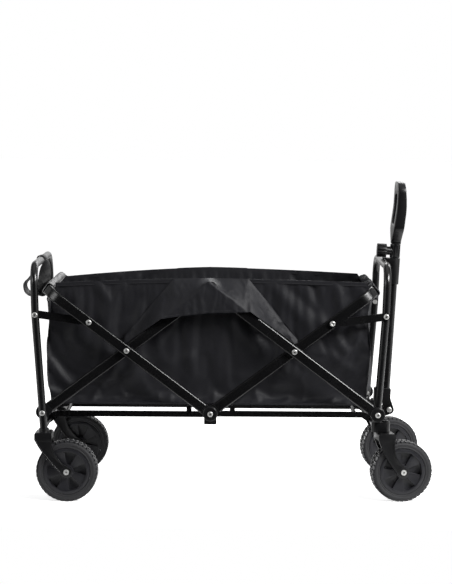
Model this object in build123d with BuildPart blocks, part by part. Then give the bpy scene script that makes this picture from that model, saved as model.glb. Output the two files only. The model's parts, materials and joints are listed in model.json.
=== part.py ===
from build123d import *
from math import acos, atan, atan2, cos, degrees, radians, sin, tan
import os

# Folding cart: a fabric box in a scissor frame, on two fixed wheels and two casters, with a
# telescopic pull handle. Millimetres. +X runs towards the handle, +Z up, and the ground is z = 0
# below the centre pivot. The right side is at -Y, the left side at +Y.
os.makedirs("parts", exist_ok=True)

# ---------------------------------------------------------------- driving sizes
pivot_spacing = 483.0        # centre bottom pivot to either end's bottom pivot
bar_half = 302.0             # crossing pivot to the pivot at either end of a scissor bar
bottom_pivot_up = 54.0       # bottom pivots above the forks' crowns
rail_reach = 287.0           # crossing pivot to the cross portion of a top rail

bar_height = 30.0
bar_thick = 14.0
bar_corner = 5.0
layer_gap = 2.0              # between the outer and the inner layer of bars
outer_layer_out = 38.0       # middle of the outer layer of bars beyond a side wall's
rail_bend = 48.0             # bend at the corners of a top rail

end_cap_radius = 21.0        # round plastic end of a bar
end_cap_proud = 4.0          # how far the round end stands out of the bar's free side
end_cap_neck = 25.0          # pivot to the seat of the bar in its end cap
end_cap_round = 3.0

post_diameter = 22.0
post_gap = 2.0               # post to the bar beside it
post_past_rail = 35.1        # post's axis outboard of a top rail's cross portion
post_top_lean = 1.7          # degrees outboard above the kink at the link bolt
link_bolt_drop = 69.6        # that kink below the rail's cross portion
post_kink_bend = 300.0
post_top_up = 81.4           # top of an end frame above the rail's cross portion
post_bend = 55.0
lower_tube_drop = 38.0       # lower cross tube of an end frame, below the bottom pivots
post_flat = 1.0              # depth of the flats under the bolt heads on a post

wheel_radius = 89.0
tyre_width = 46.0
tyre_shoulder = 7.0
tyre_seat_gap = 0.2
rim_radius = 64.0
rim_wall = 7.0
rim_flange = 3.0             # flange height over the tyre's seat
rim_flange_thick = 2.0
rim_width = 40.0             # between the flanges
web_thick = 12.0
hub_radius = 19.0
hub_width = 52.0
sector_count = 5             # raised wedges on the wheel's face
sector_start = -102.0        # degrees from forwards to the first wedge
sector_inset = 3.0           # wedge face behind the rim's edge
axle_radius = 6.0
axle_head_radius = 8.0
axle_head_high = 4.5
axle_nut_radius = 9.0

fork_crown_gap = 4.0         # tyre to the crown over it
fork_crown_high = 20.0
fork_crown_long = 50.0
fork_crown_round = 6.0
fork_arm_thick = 5.5
fork_gap = 5.0               # tyre to the fork's arm
fork_toe_radius = 15.0
fork_heel_bow = 6.0          # arm's rear edge, outwards
fork_front_bow = 15.0        # arm's front edge, inwards
fork_rim = 3.5               # raised edge round the arm's outer face
fork_rim_high = 1.4
fork_socket_high = 9.0       # socket on the crown round a rear post
fork_socket_wall = 3.5
rear_trail = 67.0            # rear post to axle, towards the front
caster_trail = 49.0          # swivel stem to axle
caster_yaw = 9.0             # degrees that the casters are turned at rest
stem_offset = 27.0           # front post's foot to the swivel stem
stem_radius = 7.0
stem_cap_radius = 10.0
stem_cap_high = 4.0
caster_gap = 2.0             # crown to the swivel block
caster_wall = 3.0            # swivel block round the post

bolt_radius = 4.0
bolt_head_radius = 8.0
bolt_head_high = 4.5
bolt_head_round = 3.0
nut_radius = 7.5
nut_high = 5.0
turn_clear = 0.3             # round a pin that something turns on, and beside it
cover_clear = 0.3            # soft covers round the frame

arm_link_at = 135.5          # crossing pivot to the link bolt along a top rail's arm
link_height = 22.0
link_thick = 5.0

base_rail_y = 94.0           # middle of a rear base rail
base_rail_thick = 8.0
base_rail_high = 17.0
base_rail_step = 12.0        # front base rails run this much further in
base_pivot_drop = 24.0       # below the bottom pivots
base_pivot_inset = 31.0      # inboard of the bottom pivots
base_tie_inset = 25.0        # base pivot to the cross tie
base_tie_radius = 6.0
base_pin_head = 2.5
base_tab_x = 64.0
base_tab_high = 18.0
base_tab_long = 15.0
ear_thick = 5.0
ear_radius = 9.0
ear_wrap = 3.0               # ear beyond the tube that carries it

foot_long = 36.0             # blocks under the centre pivots
foot_wide = 12.0
foot_high = 20.0
foot_top_drop = 16.0         # their tops below the bottom pivots
foot_tie_thick = 3.0
foot_ear_radius = 16.0

basket_half_width = 198.0    # middle of a side wall
wall_thick = 4.0
basket_bottom_up = 22.0      # above the bottom pivots
basket_corner_up = 21.4      # side wall's ends above the rails' cross portions
basket_middle_up = 26.4      # side wall's middle above the top pivots
basket_notch = 24.0          # side wall short of the end wall beside the rail
basket_notch_drop = 25.6     # end wall's top below the rail's cross portion
floor_thick = 8.0
sleeve_thick = 2.5
hood_thick = 3.0
hood_gap = 5.5               # over the outer end caps, for the bolt heads
hood_rim_half = 106.0        # hood's half-length at the rim
hood_tip_x = 238.0
hood_tip_drop = 110.6        # below the top pivots
hood_hem_x = 124.0
hood_hem_drop = 73.6

strap_width = 40.0           # webbing loop on the rear cross tube
strap_thick = 3.0
strap_bend = 10.0
strap_route = (              # loop under the tube: outboard of its axis, and below it
    (17.3, 36.7), (52.0, 77.0), (31.2, 110.0), (0.0, 99.0),
)

handle_axis_out = 50.0       # handle's axis outboard of the end wall, at its pivot's height
handle_past_tube = 36.0      # handle's axis outboard of the top cross tube
handle_pivot_inset = 13.0    # the axis inboard of the pivot
handle_pivot_drop = 18.0     # below the bottom pivots
handle_pin_radius = 5.0
handle_foot_wide = 28.0
handle_foot_in = 35.0        # hinge block inboard of the handle's axis
handle_foot_out = 15.0
handle_foot_round = 5.0
handle_eye_radius = 14.0
handle_foot_low = 20.0       # block's lower side above the pivot, along the handle
handle_foot_top = 64.0
handle_tube_radius = 12.5
handle_tube_wall = 1.5
handle_tube_past = 15.4      # outer tube past the end frame's top tube, along the handle
inner_tube_radius = 10.6
inner_tube_foot = 110.0
collar_high = 40.0
collar_radius = 13.4
collar_rib = 1.8
collar_ribs = 12
collar_ring_high = 5.0
knob_up = 19.5               # above the outer tube's end
knob_radius = 20.5
knob_long = 28.0
knob_neck_radius = 13.0
knob_neck_out = 26.0         # handle's axis to the knob
knob_flutes = 8
knob_flute_radius = 5.0
knob_flute_at = 23.0         # knob's axis to a flute's centre
clip_down = 64.0             # clip's foot below the end frame's top tube
clip_wide = 30.0
clip_radius = 16.5
clip_reach = 22.0
clip_jaw = 14.0
grip_gap = 1.0               # collar to grip
grip_high = 185.0
grip_half_width = 71.0
grip_bar = 29.0              # width of the side bars
grip_top_bar = 36.0
grip_top_corner = 31.0
grip_side_corner = 26.0
grip_hole_high = 90.0
grip_neck_radius = 17.0
grip_round = 6.0
grip_outboard = ((15.0, 0.0), (18.0, 65.0), (20.0, 110.0), (17.0, 150.0), (12.0, 186.0))
grip_inboard = ((-9.0, 186.0), (-8.0, 150.0), (-8.5, 110.0), (-12.0, 65.0), (-14.0, 0.0))

# ---------------------------------------------------------------- derived places
rest_angle = acos(pivot_spacing / (2 * bar_half))
fork_crown_z = 2 * wheel_radius + fork_crown_gap + fork_crown_high
crown_bottom_z = fork_crown_z - fork_crown_high
bottom_pivot_z = fork_crown_z + bottom_pivot_up
lower_tube_z = bottom_pivot_z - lower_tube_drop
foot_top_z = bottom_pivot_z - foot_top_drop
crossing_x = pivot_spacing / 2
crossing_z = bottom_pivot_z + bar_half * sin(rest_angle)
top_pivot_z = bottom_pivot_z + 2 * bar_half * sin(rest_angle)
rail_end_x = crossing_x + rail_reach * cos(rest_angle)
rail_end_z = crossing_z + rail_reach * sin(rest_angle)

outer_layer_y = basket_half_width + outer_layer_out
inner_layer_y = outer_layer_y - bar_thick - layer_gap
outer_free_y = outer_layer_y + bar_thick / 2 + end_cap_proud
outer_inside_y = outer_layer_y - bar_thick / 2
inner_outside_y = inner_layer_y + bar_thick / 2
inner_free_y = inner_layer_y - bar_thick / 2 - end_cap_proud

post_radius = post_diameter / 2
rear_post_y = inner_outside_y + post_gap + post_radius
front_post_y = outer_inside_y - post_gap - post_radius
post_kink_z = rail_end_z - link_bolt_drop
post_kink_x = rail_end_x + post_past_rail - link_bolt_drop * tan(radians(post_top_lean))
post_lean = degrees(atan((post_kink_x - pivot_spacing) / (post_kink_z - bottom_pivot_z)))
top_tube_z = rail_end_z + post_top_up - post_radius


def post_x(z):
    """Distance of a post's axis from the cart's centre, at a height."""
    low = min(z, post_kink_z)
    high = max(z - post_kink_z, 0)
    lower_run = (low - bottom_pivot_z) * tan(radians(post_lean))
    return pivot_spacing + lower_run + high * tan(radians(post_top_lean))


link_bolt_x = crossing_x + arm_link_at * cos(rest_angle)
link_bolt_z = crossing_z + arm_link_at * sin(rest_angle)
link_run = post_x(post_kink_z) - link_bolt_x
link_rise = post_kink_z - link_bolt_z
link_length = (link_run**2 + link_rise**2) ** 0.5
link_angle = atan2(link_rise, link_run)
rear_link_y = inner_outside_y - link_thick / 2
front_link_y = outer_inside_y + link_thick / 2

fork_half_in = tyre_width / 2 + fork_gap
fork_half_out = fork_half_in + fork_arm_thick
stem_x = post_x(fork_crown_z) + stem_offset
block_bottom_z = fork_crown_z + caster_gap
block_top_z = bottom_pivot_z - end_cap_radius - post_gap

base_pivot_x = pivot_spacing - base_pivot_inset
base_pivot_z = bottom_pivot_z - base_pivot_drop
basket_end_x = rail_end_x
basket_bottom_z = bottom_pivot_z + basket_bottom_up
basket_corner_z = rail_end_z + basket_corner_up
basket_notch_z = rail_end_z - basket_notch_drop
basket_middle_z = top_pivot_z + basket_middle_up
wall_outside_y = basket_half_width + wall_thick / 2
wall_inside_y = basket_half_width - wall_thick / 2

handle_pivot_z = bottom_pivot_z - handle_pivot_drop
handle_axis_x = basket_end_x + handle_axis_out
handle_pivot_x = handle_axis_x + handle_pivot_inset
handle_run = post_x(top_tube_z) + handle_past_tube - handle_axis_x
handle_rise = top_tube_z - handle_pivot_z
lean = atan2(handle_run, handle_rise)
tube_up = handle_rise / cos(lean) - handle_past_tube * sin(lean)
handle_tube_top = tube_up + handle_tube_past
knob_at = handle_tube_top + knob_up
clip_low = tube_up - clip_down
grip_foot = handle_tube_top + collar_high + grip_gap
grip_top = grip_foot + grip_high


# ---------------------------------------------------------------- shared forms
def save(piece, label):
    """Labels a finished piece and writes it."""
    piece.part.label = label
    export_step(piece.part, f"parts/{label}.step")


def side_plane(x, y, z, angle=0.0):
    """A plane across Y at a point, its x axis raised from +X by an angle in radians."""
    return Plane(origin=(x, y, z), x_dir=(cos(angle), 0, sin(angle)), z_dir=(0, -1, 0))


def disc(x, y, z, radius, thick, mode=Mode.ADD):
    """A round boss or bore across Y, centred on a point."""
    with Locations(Location((x, y, z), (90, 0, 0))):
        Cylinder(radius, thick, mode=mode)


def button(x, z, y_seat, y_top, radius, rounding):
    """A round head across Y from its seat to its top, rounded over at the top."""
    outward = 1 if y_top > y_seat else -1
    with BuildSketch(Plane(origin=(x, y_seat, z), x_dir=(1, 0, 0), z_dir=(0, 0, outward))) as half:
        Rectangle(radius, abs(y_top - y_seat), align=(Align.MIN, Align.MIN))
        fillet(half.vertices().sort_by(lambda v: v.X + v.Y)[-1], rounding)
    revolve(half.sketch, axis=Axis((x, y_seat, z), (0, 1, 0)))


def bolt(x, z, side, head_y, nut_y):
    """A pivot bolt with a domed head and a hexagon nut, seated head_y and nut_y from the middle."""
    disc(x, side * (head_y + nut_y) / 2, z, bolt_radius, head_y - nut_y)
    button(x, z, side * head_y, side * (head_y + bolt_head_high), bolt_head_radius, bolt_head_round)
    with BuildSketch(Plane(origin=(x, side * nut_y, z), x_dir=(1, 0, 0), z_dir=(0, -side, 0))) as nut:
        RegularPolygon(nut_radius, 6)
    extrude(nut.sketch, amount=nut_high)


def link_head(end, side, face):
    """The domed head of the bolt that joins a link to the arm of a top rail."""
    button(
        end * link_bolt_x, link_bolt_z, side * face, side * (face + bolt_head_high),
        bolt_head_radius, bolt_head_round,
    )


def bar_section(plane):
    """The rounded flat section of the scissor bars and top rails."""
    with BuildSketch(plane) as section:
        RectangleRounded(bar_thick, bar_height, bar_corner)
    return section.sketch


def straight_bar(end, slope, y):
    """A scissor bar through the crossing at one end of the cart; slope is +1 where it rises to +X."""
    reach = bar_half - end_cap_neck
    along = Vector(cos(rest_angle), 0, slope * sin(rest_angle))
    foot = Vector(end * crossing_x, y, crossing_z) - along * reach
    with BuildPart() as bar:
        extrude(bar_section(Plane(origin=foot, x_dir=(0, 1, 0), z_dir=along)), amount=2 * reach)
        disc(end * crossing_x, y, crossing_z, bolt_radius + turn_clear, 2 * bar_thick, Mode.SUBTRACT)
    return bar


def end_cap(x, z, angle, y, free):
    """The round plastic end of a bar that leaves its pivot at an angle; free points to its open side."""
    seat = y - free * bar_thick / 2
    button(x, z, seat, y + free * (bar_thick / 2 + end_cap_proud), end_cap_radius, end_cap_round)
    with BuildSketch(side_plane(x, y, z, angle)) as neck:
        Rectangle(end_cap_neck, bar_height, align=(Align.MIN, Align.CENTER))
    extrude(neck.sketch, amount=bar_thick / 2, both=True)
    disc(x, y, z, bolt_radius + turn_clear, 3 * bar_thick, Mode.SUBTRACT)


def top_rail(end, layer_y):
    """A U-shaped top rail: two arms that rise to one end of the cart, and the bend across it."""
    along = (end * cos(rest_angle), 0, sin(rest_angle))
    across = (-sin(rest_angle), 0, end * cos(rest_angle))
    reach = bar_half - end_cap_neck
    with BuildPart() as rail:
        with BuildLine(Plane(origin=(end * crossing_x, 0, crossing_z), x_dir=along, z_dir=across)) as path:
            FilletPolyline(
                (-reach, -layer_y), (rail_reach, -layer_y), (rail_reach, layer_y), (-reach, layer_y),
                radius=rail_bend,
            )
        start = path.line @ 0
        sweep(bar_section(Plane(origin=start, x_dir=(0, 1, 0), z_dir=path.line % 0)), path=path.line)
        for side in (-1, 1):
            for x, z in ((crossing_x, crossing_z), (link_bolt_x, link_bolt_z)):
                disc(end * x, side * layer_y, z, bolt_radius + turn_clear, 2 * bar_thick, Mode.SUBTRACT)
    return rail


def post_start_z(foot_z):
    """Height of a post's axis where its square-cut foot just touches a height."""
    return foot_z + post_radius * sin(radians(post_lean))


def post_bore(end, y, foot_z, reach):
    """The bore of a socket that a post's foot sits in."""
    start_z = post_start_z(foot_z)
    tilt = radians(post_lean)
    centre = (end * post_x(start_z), y, start_z)
    foot = Plane(origin=centre, x_dir=(0, 1, 0), z_dir=(end * sin(tilt), 0, cos(tilt)))
    with BuildSketch(foot) as section:
        Circle(post_radius)
    extrude(section.sketch, amount=reach, mode=Mode.SUBTRACT)


def end_frame(end, post_y, foot_z, ear_y):
    """An end frame: two leaning posts bent into a top cross tube, a lower cross tube and two ears."""
    heights = (post_start_z(foot_z), post_kink_z, top_tube_z)
    right = [(post_x(z), -post_y, z) for z in heights]
    left = [(post_x(z), post_y, z) for z in reversed(heights)]
    tube_x = post_x(lower_tube_z)
    with BuildPart() as frame:
        with BuildLine() as path:
            FilletPolyline(*right, *left, radius=(post_kink_bend, post_bend, post_bend, post_kink_bend))
        with BuildSketch(Plane(origin=path.line @ 0, x_dir=(0, 1, 0), z_dir=path.line % 0)):
            Circle(post_radius)
        sweep(path=path.line)
        disc(tube_x, 0, lower_tube_z, post_radius, 2 * post_y)
        for side in (-1, 1):
            for z in (bottom_pivot_z, post_kink_z):
                disc(post_x(z), side * post_y, z, bolt_radius + turn_clear, 2 * post_diameter, Mode.SUBTRACT)
                for face in (-1, 1):
                    flat_y = side * post_y + face * (2 * post_radius - post_flat)
                    disc(post_x(z), flat_y, z, bolt_head_radius + turn_clear, post_diameter, Mode.SUBTRACT)
            with BuildSketch(side_plane(0, side * ear_y, 0)) as ear:
                with Locations((tube_x, lower_tube_z)):
                    Circle(post_radius + ear_wrap)
                with Locations((base_pivot_x, base_pivot_z)):
                    Circle(ear_radius)
                make_hull()
            extrude(ear.sketch, amount=ear_thick / 2, both=True)
            base_pin(base_pivot_x, base_pivot_z, side, ear_y)
        if end < 0:
            mirror(about=Plane.YZ, mode=Mode.REPLACE)
    return frame


def base_pin(x, z, side, ear_y):
    """The pin of a base rail, fixed in its ear and headed on the rail's far side."""
    pin_end = ear_y - ear_thick / 2 - 2 * turn_clear - base_rail_thick
    disc(x, side * (ear_y + pin_end) / 2, z, bolt_radius, ear_y - pin_end)
    disc(x, side * (pin_end - base_pin_head / 2), z, nut_radius, base_pin_head)


def base_rails(end, rail_y):
    """One end's half of the folding base: two rails from their pivots to the centre, and a tie."""
    tie_x = base_pivot_x - base_tie_inset
    with BuildPart() as rails:
        for side in (-1, 1):
            with BuildSketch(side_plane(0, side * rail_y, 0)) as rail:
                with Locations((end * base_pivot_x / 2, base_pivot_z)):
                    SlotCenterToCenter(base_pivot_x, base_rail_high)
                with Locations((end * base_tab_x, base_pivot_z)):
                    Rectangle(
                        base_tab_long, base_rail_high / 2 + base_tab_high, align=(Align.CENTER, Align.MIN)
                    )
            extrude(rail.sketch, amount=base_rail_thick / 2, both=True)
            hole = bolt_radius + turn_clear
            disc(end * base_pivot_x, side * rail_y, base_pivot_z, hole, 2 * base_rail_thick, Mode.SUBTRACT)
        disc(end * tie_x, 0, base_pivot_z, base_tie_radius, 2 * rail_y)
    return rails


def link_plate(end, side, y):
    """A link from the top of a post to the arm of the top rail."""
    middle = ((post_x(post_kink_z) + link_bolt_x) / 2, (post_kink_z + link_bolt_z) / 2)
    with BuildSketch(side_plane(end * middle[0], side * y, middle[1], end * link_angle)) as plate:
        SlotCenterToCenter(link_length, link_height)
    extrude(plate.sketch, amount=link_thick / 2, both=True)
    for x, z in ((post_x(post_kink_z), post_kink_z), (link_bolt_x, link_bolt_z)):
        disc(end * x, side * y, z, bolt_radius + turn_clear, 3 * link_thick, Mode.SUBTRACT)


def wheel_frame(x, y, z, yaw):
    """A wheel's or fork's own plane: x forwards, y up and z to the right of the way it rolls."""
    turn = radians(yaw)
    return Plane(origin=(x, y, z), x_dir=(cos(turn), sin(turn), 0), z_dir=(sin(turn), -cos(turn), 0))


def wheel_half_plane(frame):
    """The plane of a wheel's turned profile: x outwards from the axle, y along it."""
    return Plane(origin=frame.origin, x_dir=frame.x_dir, z_dir=(0, 0, -1))


def wheel_disc(frame):
    """A moulded wheel: flanged rim, web and hub turned in one, with raised wedges on both faces."""
    bore = axle_radius + turn_clear
    rim_inside = rim_radius - rim_wall
    wedge_half = rim_radius * tan(radians(90 / sector_count))
    flange_y = rim_width / 2 + rim_flange_thick
    upper = [
        (bore, hub_width / 2), (hub_radius, hub_width / 2), (hub_radius, web_thick / 2),
        (rim_inside, web_thick / 2), (rim_inside, flange_y), (rim_radius + rim_flange, flange_y),
        (rim_radius + rim_flange, rim_width / 2), (rim_radius, rim_width / 2),
    ]
    lower = [(r, -w) for r, w in reversed(upper)]
    with BuildPart() as wheel:
        with BuildSketch(wheel_half_plane(frame)):
            Polygon(*upper, *lower, align=None)
        revolve(axis=Axis(frame.origin, frame.z_dir))
        with BuildSketch(frame):
            with PolarLocations(0, sector_count, start_angle=sector_start):
                Polygon((0, 0), (rim_radius, -wedge_half), (rim_radius, wedge_half), align=None)
            Circle(rim_inside + rim_wall / 2, mode=Mode.INTERSECT)
            Circle(hub_radius - rim_flange, mode=Mode.SUBTRACT)
        extrude(amount=rim_width / 2 - sector_inset, both=True)
    return wheel


def tyre_ring(frame):
    """A tyre whose beads seat between the rim's flanges."""
    seat = rim_radius + tyre_seat_gap
    bead = rim_radius + rim_flange + tyre_seat_gap
    half = tyre_width / 2
    with BuildPart() as tyre:
        with BuildSketch(wheel_half_plane(frame)) as profile:
            Polygon(
                (seat, rim_width / 2), (bead, rim_width / 2), (bead, half), (wheel_radius, half),
                (wheel_radius, -half), (bead, -half), (bead, -rim_width / 2), (seat, -rim_width / 2),
                align=None,
            )
            fillet(profile.vertices().group_by(Axis.X)[-1], tyre_shoulder)
        revolve(axis=Axis(frame.origin, frame.z_dir))
    return tyre


def bowed(start, end, bow):
    """An arc between two points of a sketch that bows to the left of the way it runs."""
    run, rise = end[0] - start[0], end[1] - start[1]
    share = bow / (run**2 + rise**2) ** 0.5
    middle = ((start[0] + end[0]) / 2 - rise * share, (start[1] + end[1]) / 2 + run * share)
    return ThreePointArc(start, middle, end)


def arm_outline(frame, trail):
    """A fork arm's outline: broad under the crown, curved forwards, and round at the axle."""
    half = fork_crown_long / 2
    toe = fork_toe_radius * cos(radians(45))
    rear_corner = (-half, crown_bottom_z)
    front_corner = (half, crown_bottom_z)
    toe_low = (trail - toe, wheel_radius - toe)
    toe_high = (trail + toe, wheel_radius + toe)
    toe_end = (trail + toe, wheel_radius - toe)
    with BuildSketch(frame) as outline:
        with BuildLine():
            bowed(toe_low, rear_corner, fork_heel_bow)
            Polyline(rear_corner, (-half, fork_crown_z), (half, fork_crown_z), front_corner)
            bowed(front_corner, toe_high, -fork_front_bow)
            ThreePointArc(toe_high, toe_end, toe_low)
        make_face()
        fillet(outline.vertices().group_by(Axis.Y)[-1], fork_crown_round)
    return outline.sketch


def fork(frame, trail):
    """A moulded fork: a crown over the tyre and two curved arms with a raised edge, down to the axle."""
    outline = arm_outline(frame, trail)
    with BuildPart() as piece:
        extrude(outline, amount=fork_half_out, both=True)
        with BuildSketch(frame) as gap:
            Rectangle(4 * wheel_radius, crown_bottom_z, align=(Align.CENTER, Align.MIN))
        extrude(gap.sketch, amount=fork_half_in, both=True, mode=Mode.SUBTRACT)
        for face in (-1, 1):
            with BuildSketch(frame.offset(face * fork_half_out)) as recess:
                add(arm_outline(Plane.XY, trail))
                offset(amount=-fork_rim, mode=Mode.REPLACE)
                with Locations((trail, wheel_radius)):
                    Circle(fork_toe_radius, mode=Mode.SUBTRACT)
                crown_wide, crown_high = fork_crown_long, 2 * fork_crown_high
                with Locations((0, crown_bottom_z - fork_rim + crown_high / 2)):
                    Rectangle(crown_wide, crown_high, mode=Mode.SUBTRACT)
            extrude(recess.sketch, amount=-face * fork_rim_high, mode=Mode.SUBTRACT)
        with BuildSketch(frame) as bore:
            with Locations((trail, wheel_radius)):
                Circle(axle_radius + turn_clear)
        extrude(bore.sketch, amount=2 * fork_half_out, both=True, mode=Mode.SUBTRACT)
    return piece


def axle(frame):
    """An axle bolt across a fork, with a round head on its right and a nut on its left."""
    with BuildSketch(frame) as shank:
        Circle(axle_radius)
    extrude(shank.sketch, amount=fork_half_out, both=True)
    with BuildSketch(frame.offset(fork_half_out)) as head:
        Circle(axle_head_radius)
    extrude(head.sketch, amount=axle_head_high)
    with BuildSketch(frame.offset(-fork_half_out)) as nut:
        RegularPolygon(axle_nut_radius, 6)
    extrude(nut.sketch, amount=-axle_head_high)


# ---------------------------------------------------------------- centre of the cart
with BuildPart() as centre_crossbar:
    for side in (-1, 1):
        foot_y = side * (inner_free_y - turn_clear - foot_wide / 2)
        with BuildSketch(side_plane(0, foot_y, 0)) as block:
            with Locations((0, foot_top_z)):
                Rectangle(foot_long, foot_high, align=(Align.CENTER, Align.MAX))
            fillet(block.vertices(), end_cap_round)
        extrude(block.sketch, amount=foot_wide / 2, both=True)
        ear_y = side * (inner_free_y - turn_clear - ear_thick / 2)
        with BuildSketch(side_plane(0, ear_y, 0)) as ear:
            with Locations((0, bottom_pivot_z)):
                Circle(foot_ear_radius)
            with Locations((0, foot_top_z)):
                Rectangle(foot_long - 2 * end_cap_round, foot_high / 2, align=(Align.CENTER, Align.MAX))
            make_hull()
        extrude(ear.sketch, amount=ear_thick / 2, both=True)
        disc(0, ear_y, bottom_pivot_z, bolt_radius + turn_clear, foot_wide * 3, Mode.SUBTRACT)
    with Locations((0, 0, foot_top_z - foot_high + foot_tie_thick / 2)):
        Box(foot_long - 2 * end_cap_round, 2 * (inner_free_y - foot_wide / 2), foot_tie_thick)
save(centre_crossbar, "centre_crossbar")

with BuildPart() as centre_bolts:
    for side in (-1, 1):
        bolt(0, bottom_pivot_z, side, outer_free_y, inner_free_y - turn_clear - ear_thick)
save(centre_bolts, "centre_bolts")

# ---------------------------------------------------------------- top rails and lift bars
for name, end, layer_y, free, in_y in (
    ("rear", -1, outer_layer_y, 1, inner_layer_y),
    ("front", 1, inner_layer_y, -1, outer_layer_y),
):
    save(top_rail(end, layer_y), f"{name}_top_rail")
    with BuildPart() as rail_caps:
        for side in (-1, 1):
            towards = rest_angle if end > 0 else radians(180) - rest_angle
            end_cap(0, bottom_pivot_z, towards, side * layer_y, side * free)
    save(rail_caps, f"{name}_rail_end_caps")

    for label, side in (("right", -1), ("left", 1)):
        save(straight_bar(end, -end, side * in_y), f"{name}_lift_bar_{label}")
    with BuildPart() as lift_caps:
        for side in (-1, 1):
            low = radians(180) - rest_angle if end > 0 else rest_angle
            high = -rest_angle if end > 0 else radians(180) + rest_angle
            end_cap(end * pivot_spacing, bottom_pivot_z, low, side * in_y, -side * free)
            end_cap(0, top_pivot_z, high, side * in_y, -side * free)
    save(lift_caps, f"{name}_lift_end_caps")

with BuildPart() as rear_rail_bolts:
    for side in (-1, 1):
        bolt(-crossing_x, crossing_z, side, outer_layer_y + bar_thick / 2, inner_layer_y - bar_thick / 2)
        face = outer_layer_y + bar_thick / 2
        disc(-link_bolt_x, side * outer_layer_y, link_bolt_z, bolt_radius, bar_thick)
        link_head(-1, side, face)
save(rear_rail_bolts, "rear_rail_bolts")

with BuildPart() as front_rail_bolts:
    for side in (-1, 1):
        bolt(crossing_x, crossing_z, side, outer_layer_y + bar_thick / 2, inner_layer_y - bar_thick / 2)
save(front_rail_bolts, "front_rail_bolts")

for name, end, layer_y in (("rear", -1, outer_layer_y), ("front", 1, inner_layer_y)):
    hollow = (bar_thick + 2 * cover_clear, bar_height + 2 * cover_clear)
    outer = (hollow[0] + 2 * sleeve_thick, hollow[1] + 2 * sleeve_thick)
    sleeve_plane = Plane(
        origin=(end * rail_end_x, 0, rail_end_z),
        x_dir=(end * cos(rest_angle), 0, sin(rest_angle)), z_dir=(0, -1, 0),
    )
    with BuildPart() as sleeve:
        with BuildSketch(sleeve_plane):
            RectangleRounded(*outer, bar_corner + sleeve_thick)
            RectangleRounded(*hollow, bar_corner, mode=Mode.SUBTRACT)
        extrude(amount=layer_y - rail_bend - cover_clear, both=True)
    save(sleeve, f"{name}_rail_sleeve")

# ---------------------------------------------------------------- links
with BuildPart() as rear_links:
    for side in (-1, 1):
        link_plate(-1, side, rear_link_y)
save(rear_links, "rear_links")

with BuildPart() as front_links:
    for side in (-1, 1):
        link_plate(1, side, front_link_y)
save(front_links, "front_links")

with BuildPart() as front_link_rivets:
    for side in (-1, 1):
        face = outer_inside_y + link_thick
        disc(link_bolt_x, side * front_link_y, link_bolt_z, bolt_radius, link_thick)
        link_head(1, side, face)
save(front_link_rivets, "front_link_rivets")

# ---------------------------------------------------------------- end frames
rear_ear_y = base_rail_y + base_rail_thick / 2 + turn_clear + ear_thick / 2
front_rail_y = base_rail_y - base_rail_step
front_ear_y = front_rail_y + base_rail_thick / 2 + turn_clear + ear_thick / 2

rear_end_frame = end_frame(-1, rear_post_y, fork_crown_z, rear_ear_y)
save(rear_end_frame, "rear_end_frame")

with BuildPart() as rear_end_bolts:
    for side in (-1, 1):
        flat_y = rear_post_y + post_radius - post_flat
        bolt(-pivot_spacing, bottom_pivot_z, side, flat_y, inner_free_y)
        bolt(-post_x(post_kink_z), post_kink_z, side, flat_y, rear_link_y - link_thick / 2 - turn_clear)
save(rear_end_bolts, "rear_end_bolts")

yoke_gap = handle_foot_wide / 2 + turn_clear
with BuildPart() as front_end_frame:
    add(end_frame(1, front_post_y, block_bottom_z, front_ear_y).part)
    for side in (-1, 1):
        with BuildSketch(side_plane(0, side * (yoke_gap + ear_thick / 2), 0)) as cheek:
            with Locations((post_x(lower_tube_z), lower_tube_z)):
                Circle(post_radius + ear_wrap)
            with Locations((handle_pivot_x, handle_pivot_z)):
                Circle(handle_eye_radius)
            make_hull()
        extrude(cheek.sketch, amount=ear_thick / 2, both=True)
    disc(handle_pivot_x, 0, handle_pivot_z, handle_pin_radius + turn_clear, fork_crown_long, Mode.SUBTRACT)
save(front_end_frame, "front_end_frame")

with BuildPart() as front_end_bolts:
    for side in (-1, 1):
        flat_y = front_post_y - post_radius + post_flat
        bolt(pivot_spacing, bottom_pivot_z, side, outer_free_y, flat_y)
        bolt(post_x(post_kink_z), post_kink_z, side, front_link_y + link_thick / 2 + turn_clear, flat_y)
    yoke_face = yoke_gap + ear_thick
    disc(handle_pivot_x, 0, handle_pivot_z, handle_pin_radius, 2 * yoke_face)
    for side in (-1, 1):
        button(
            handle_pivot_x, handle_pivot_z, side * yoke_face, side * (yoke_face + bolt_head_high),
            bolt_head_radius, bolt_head_round,
        )
save(front_end_bolts, "front_end_bolts")

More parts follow.
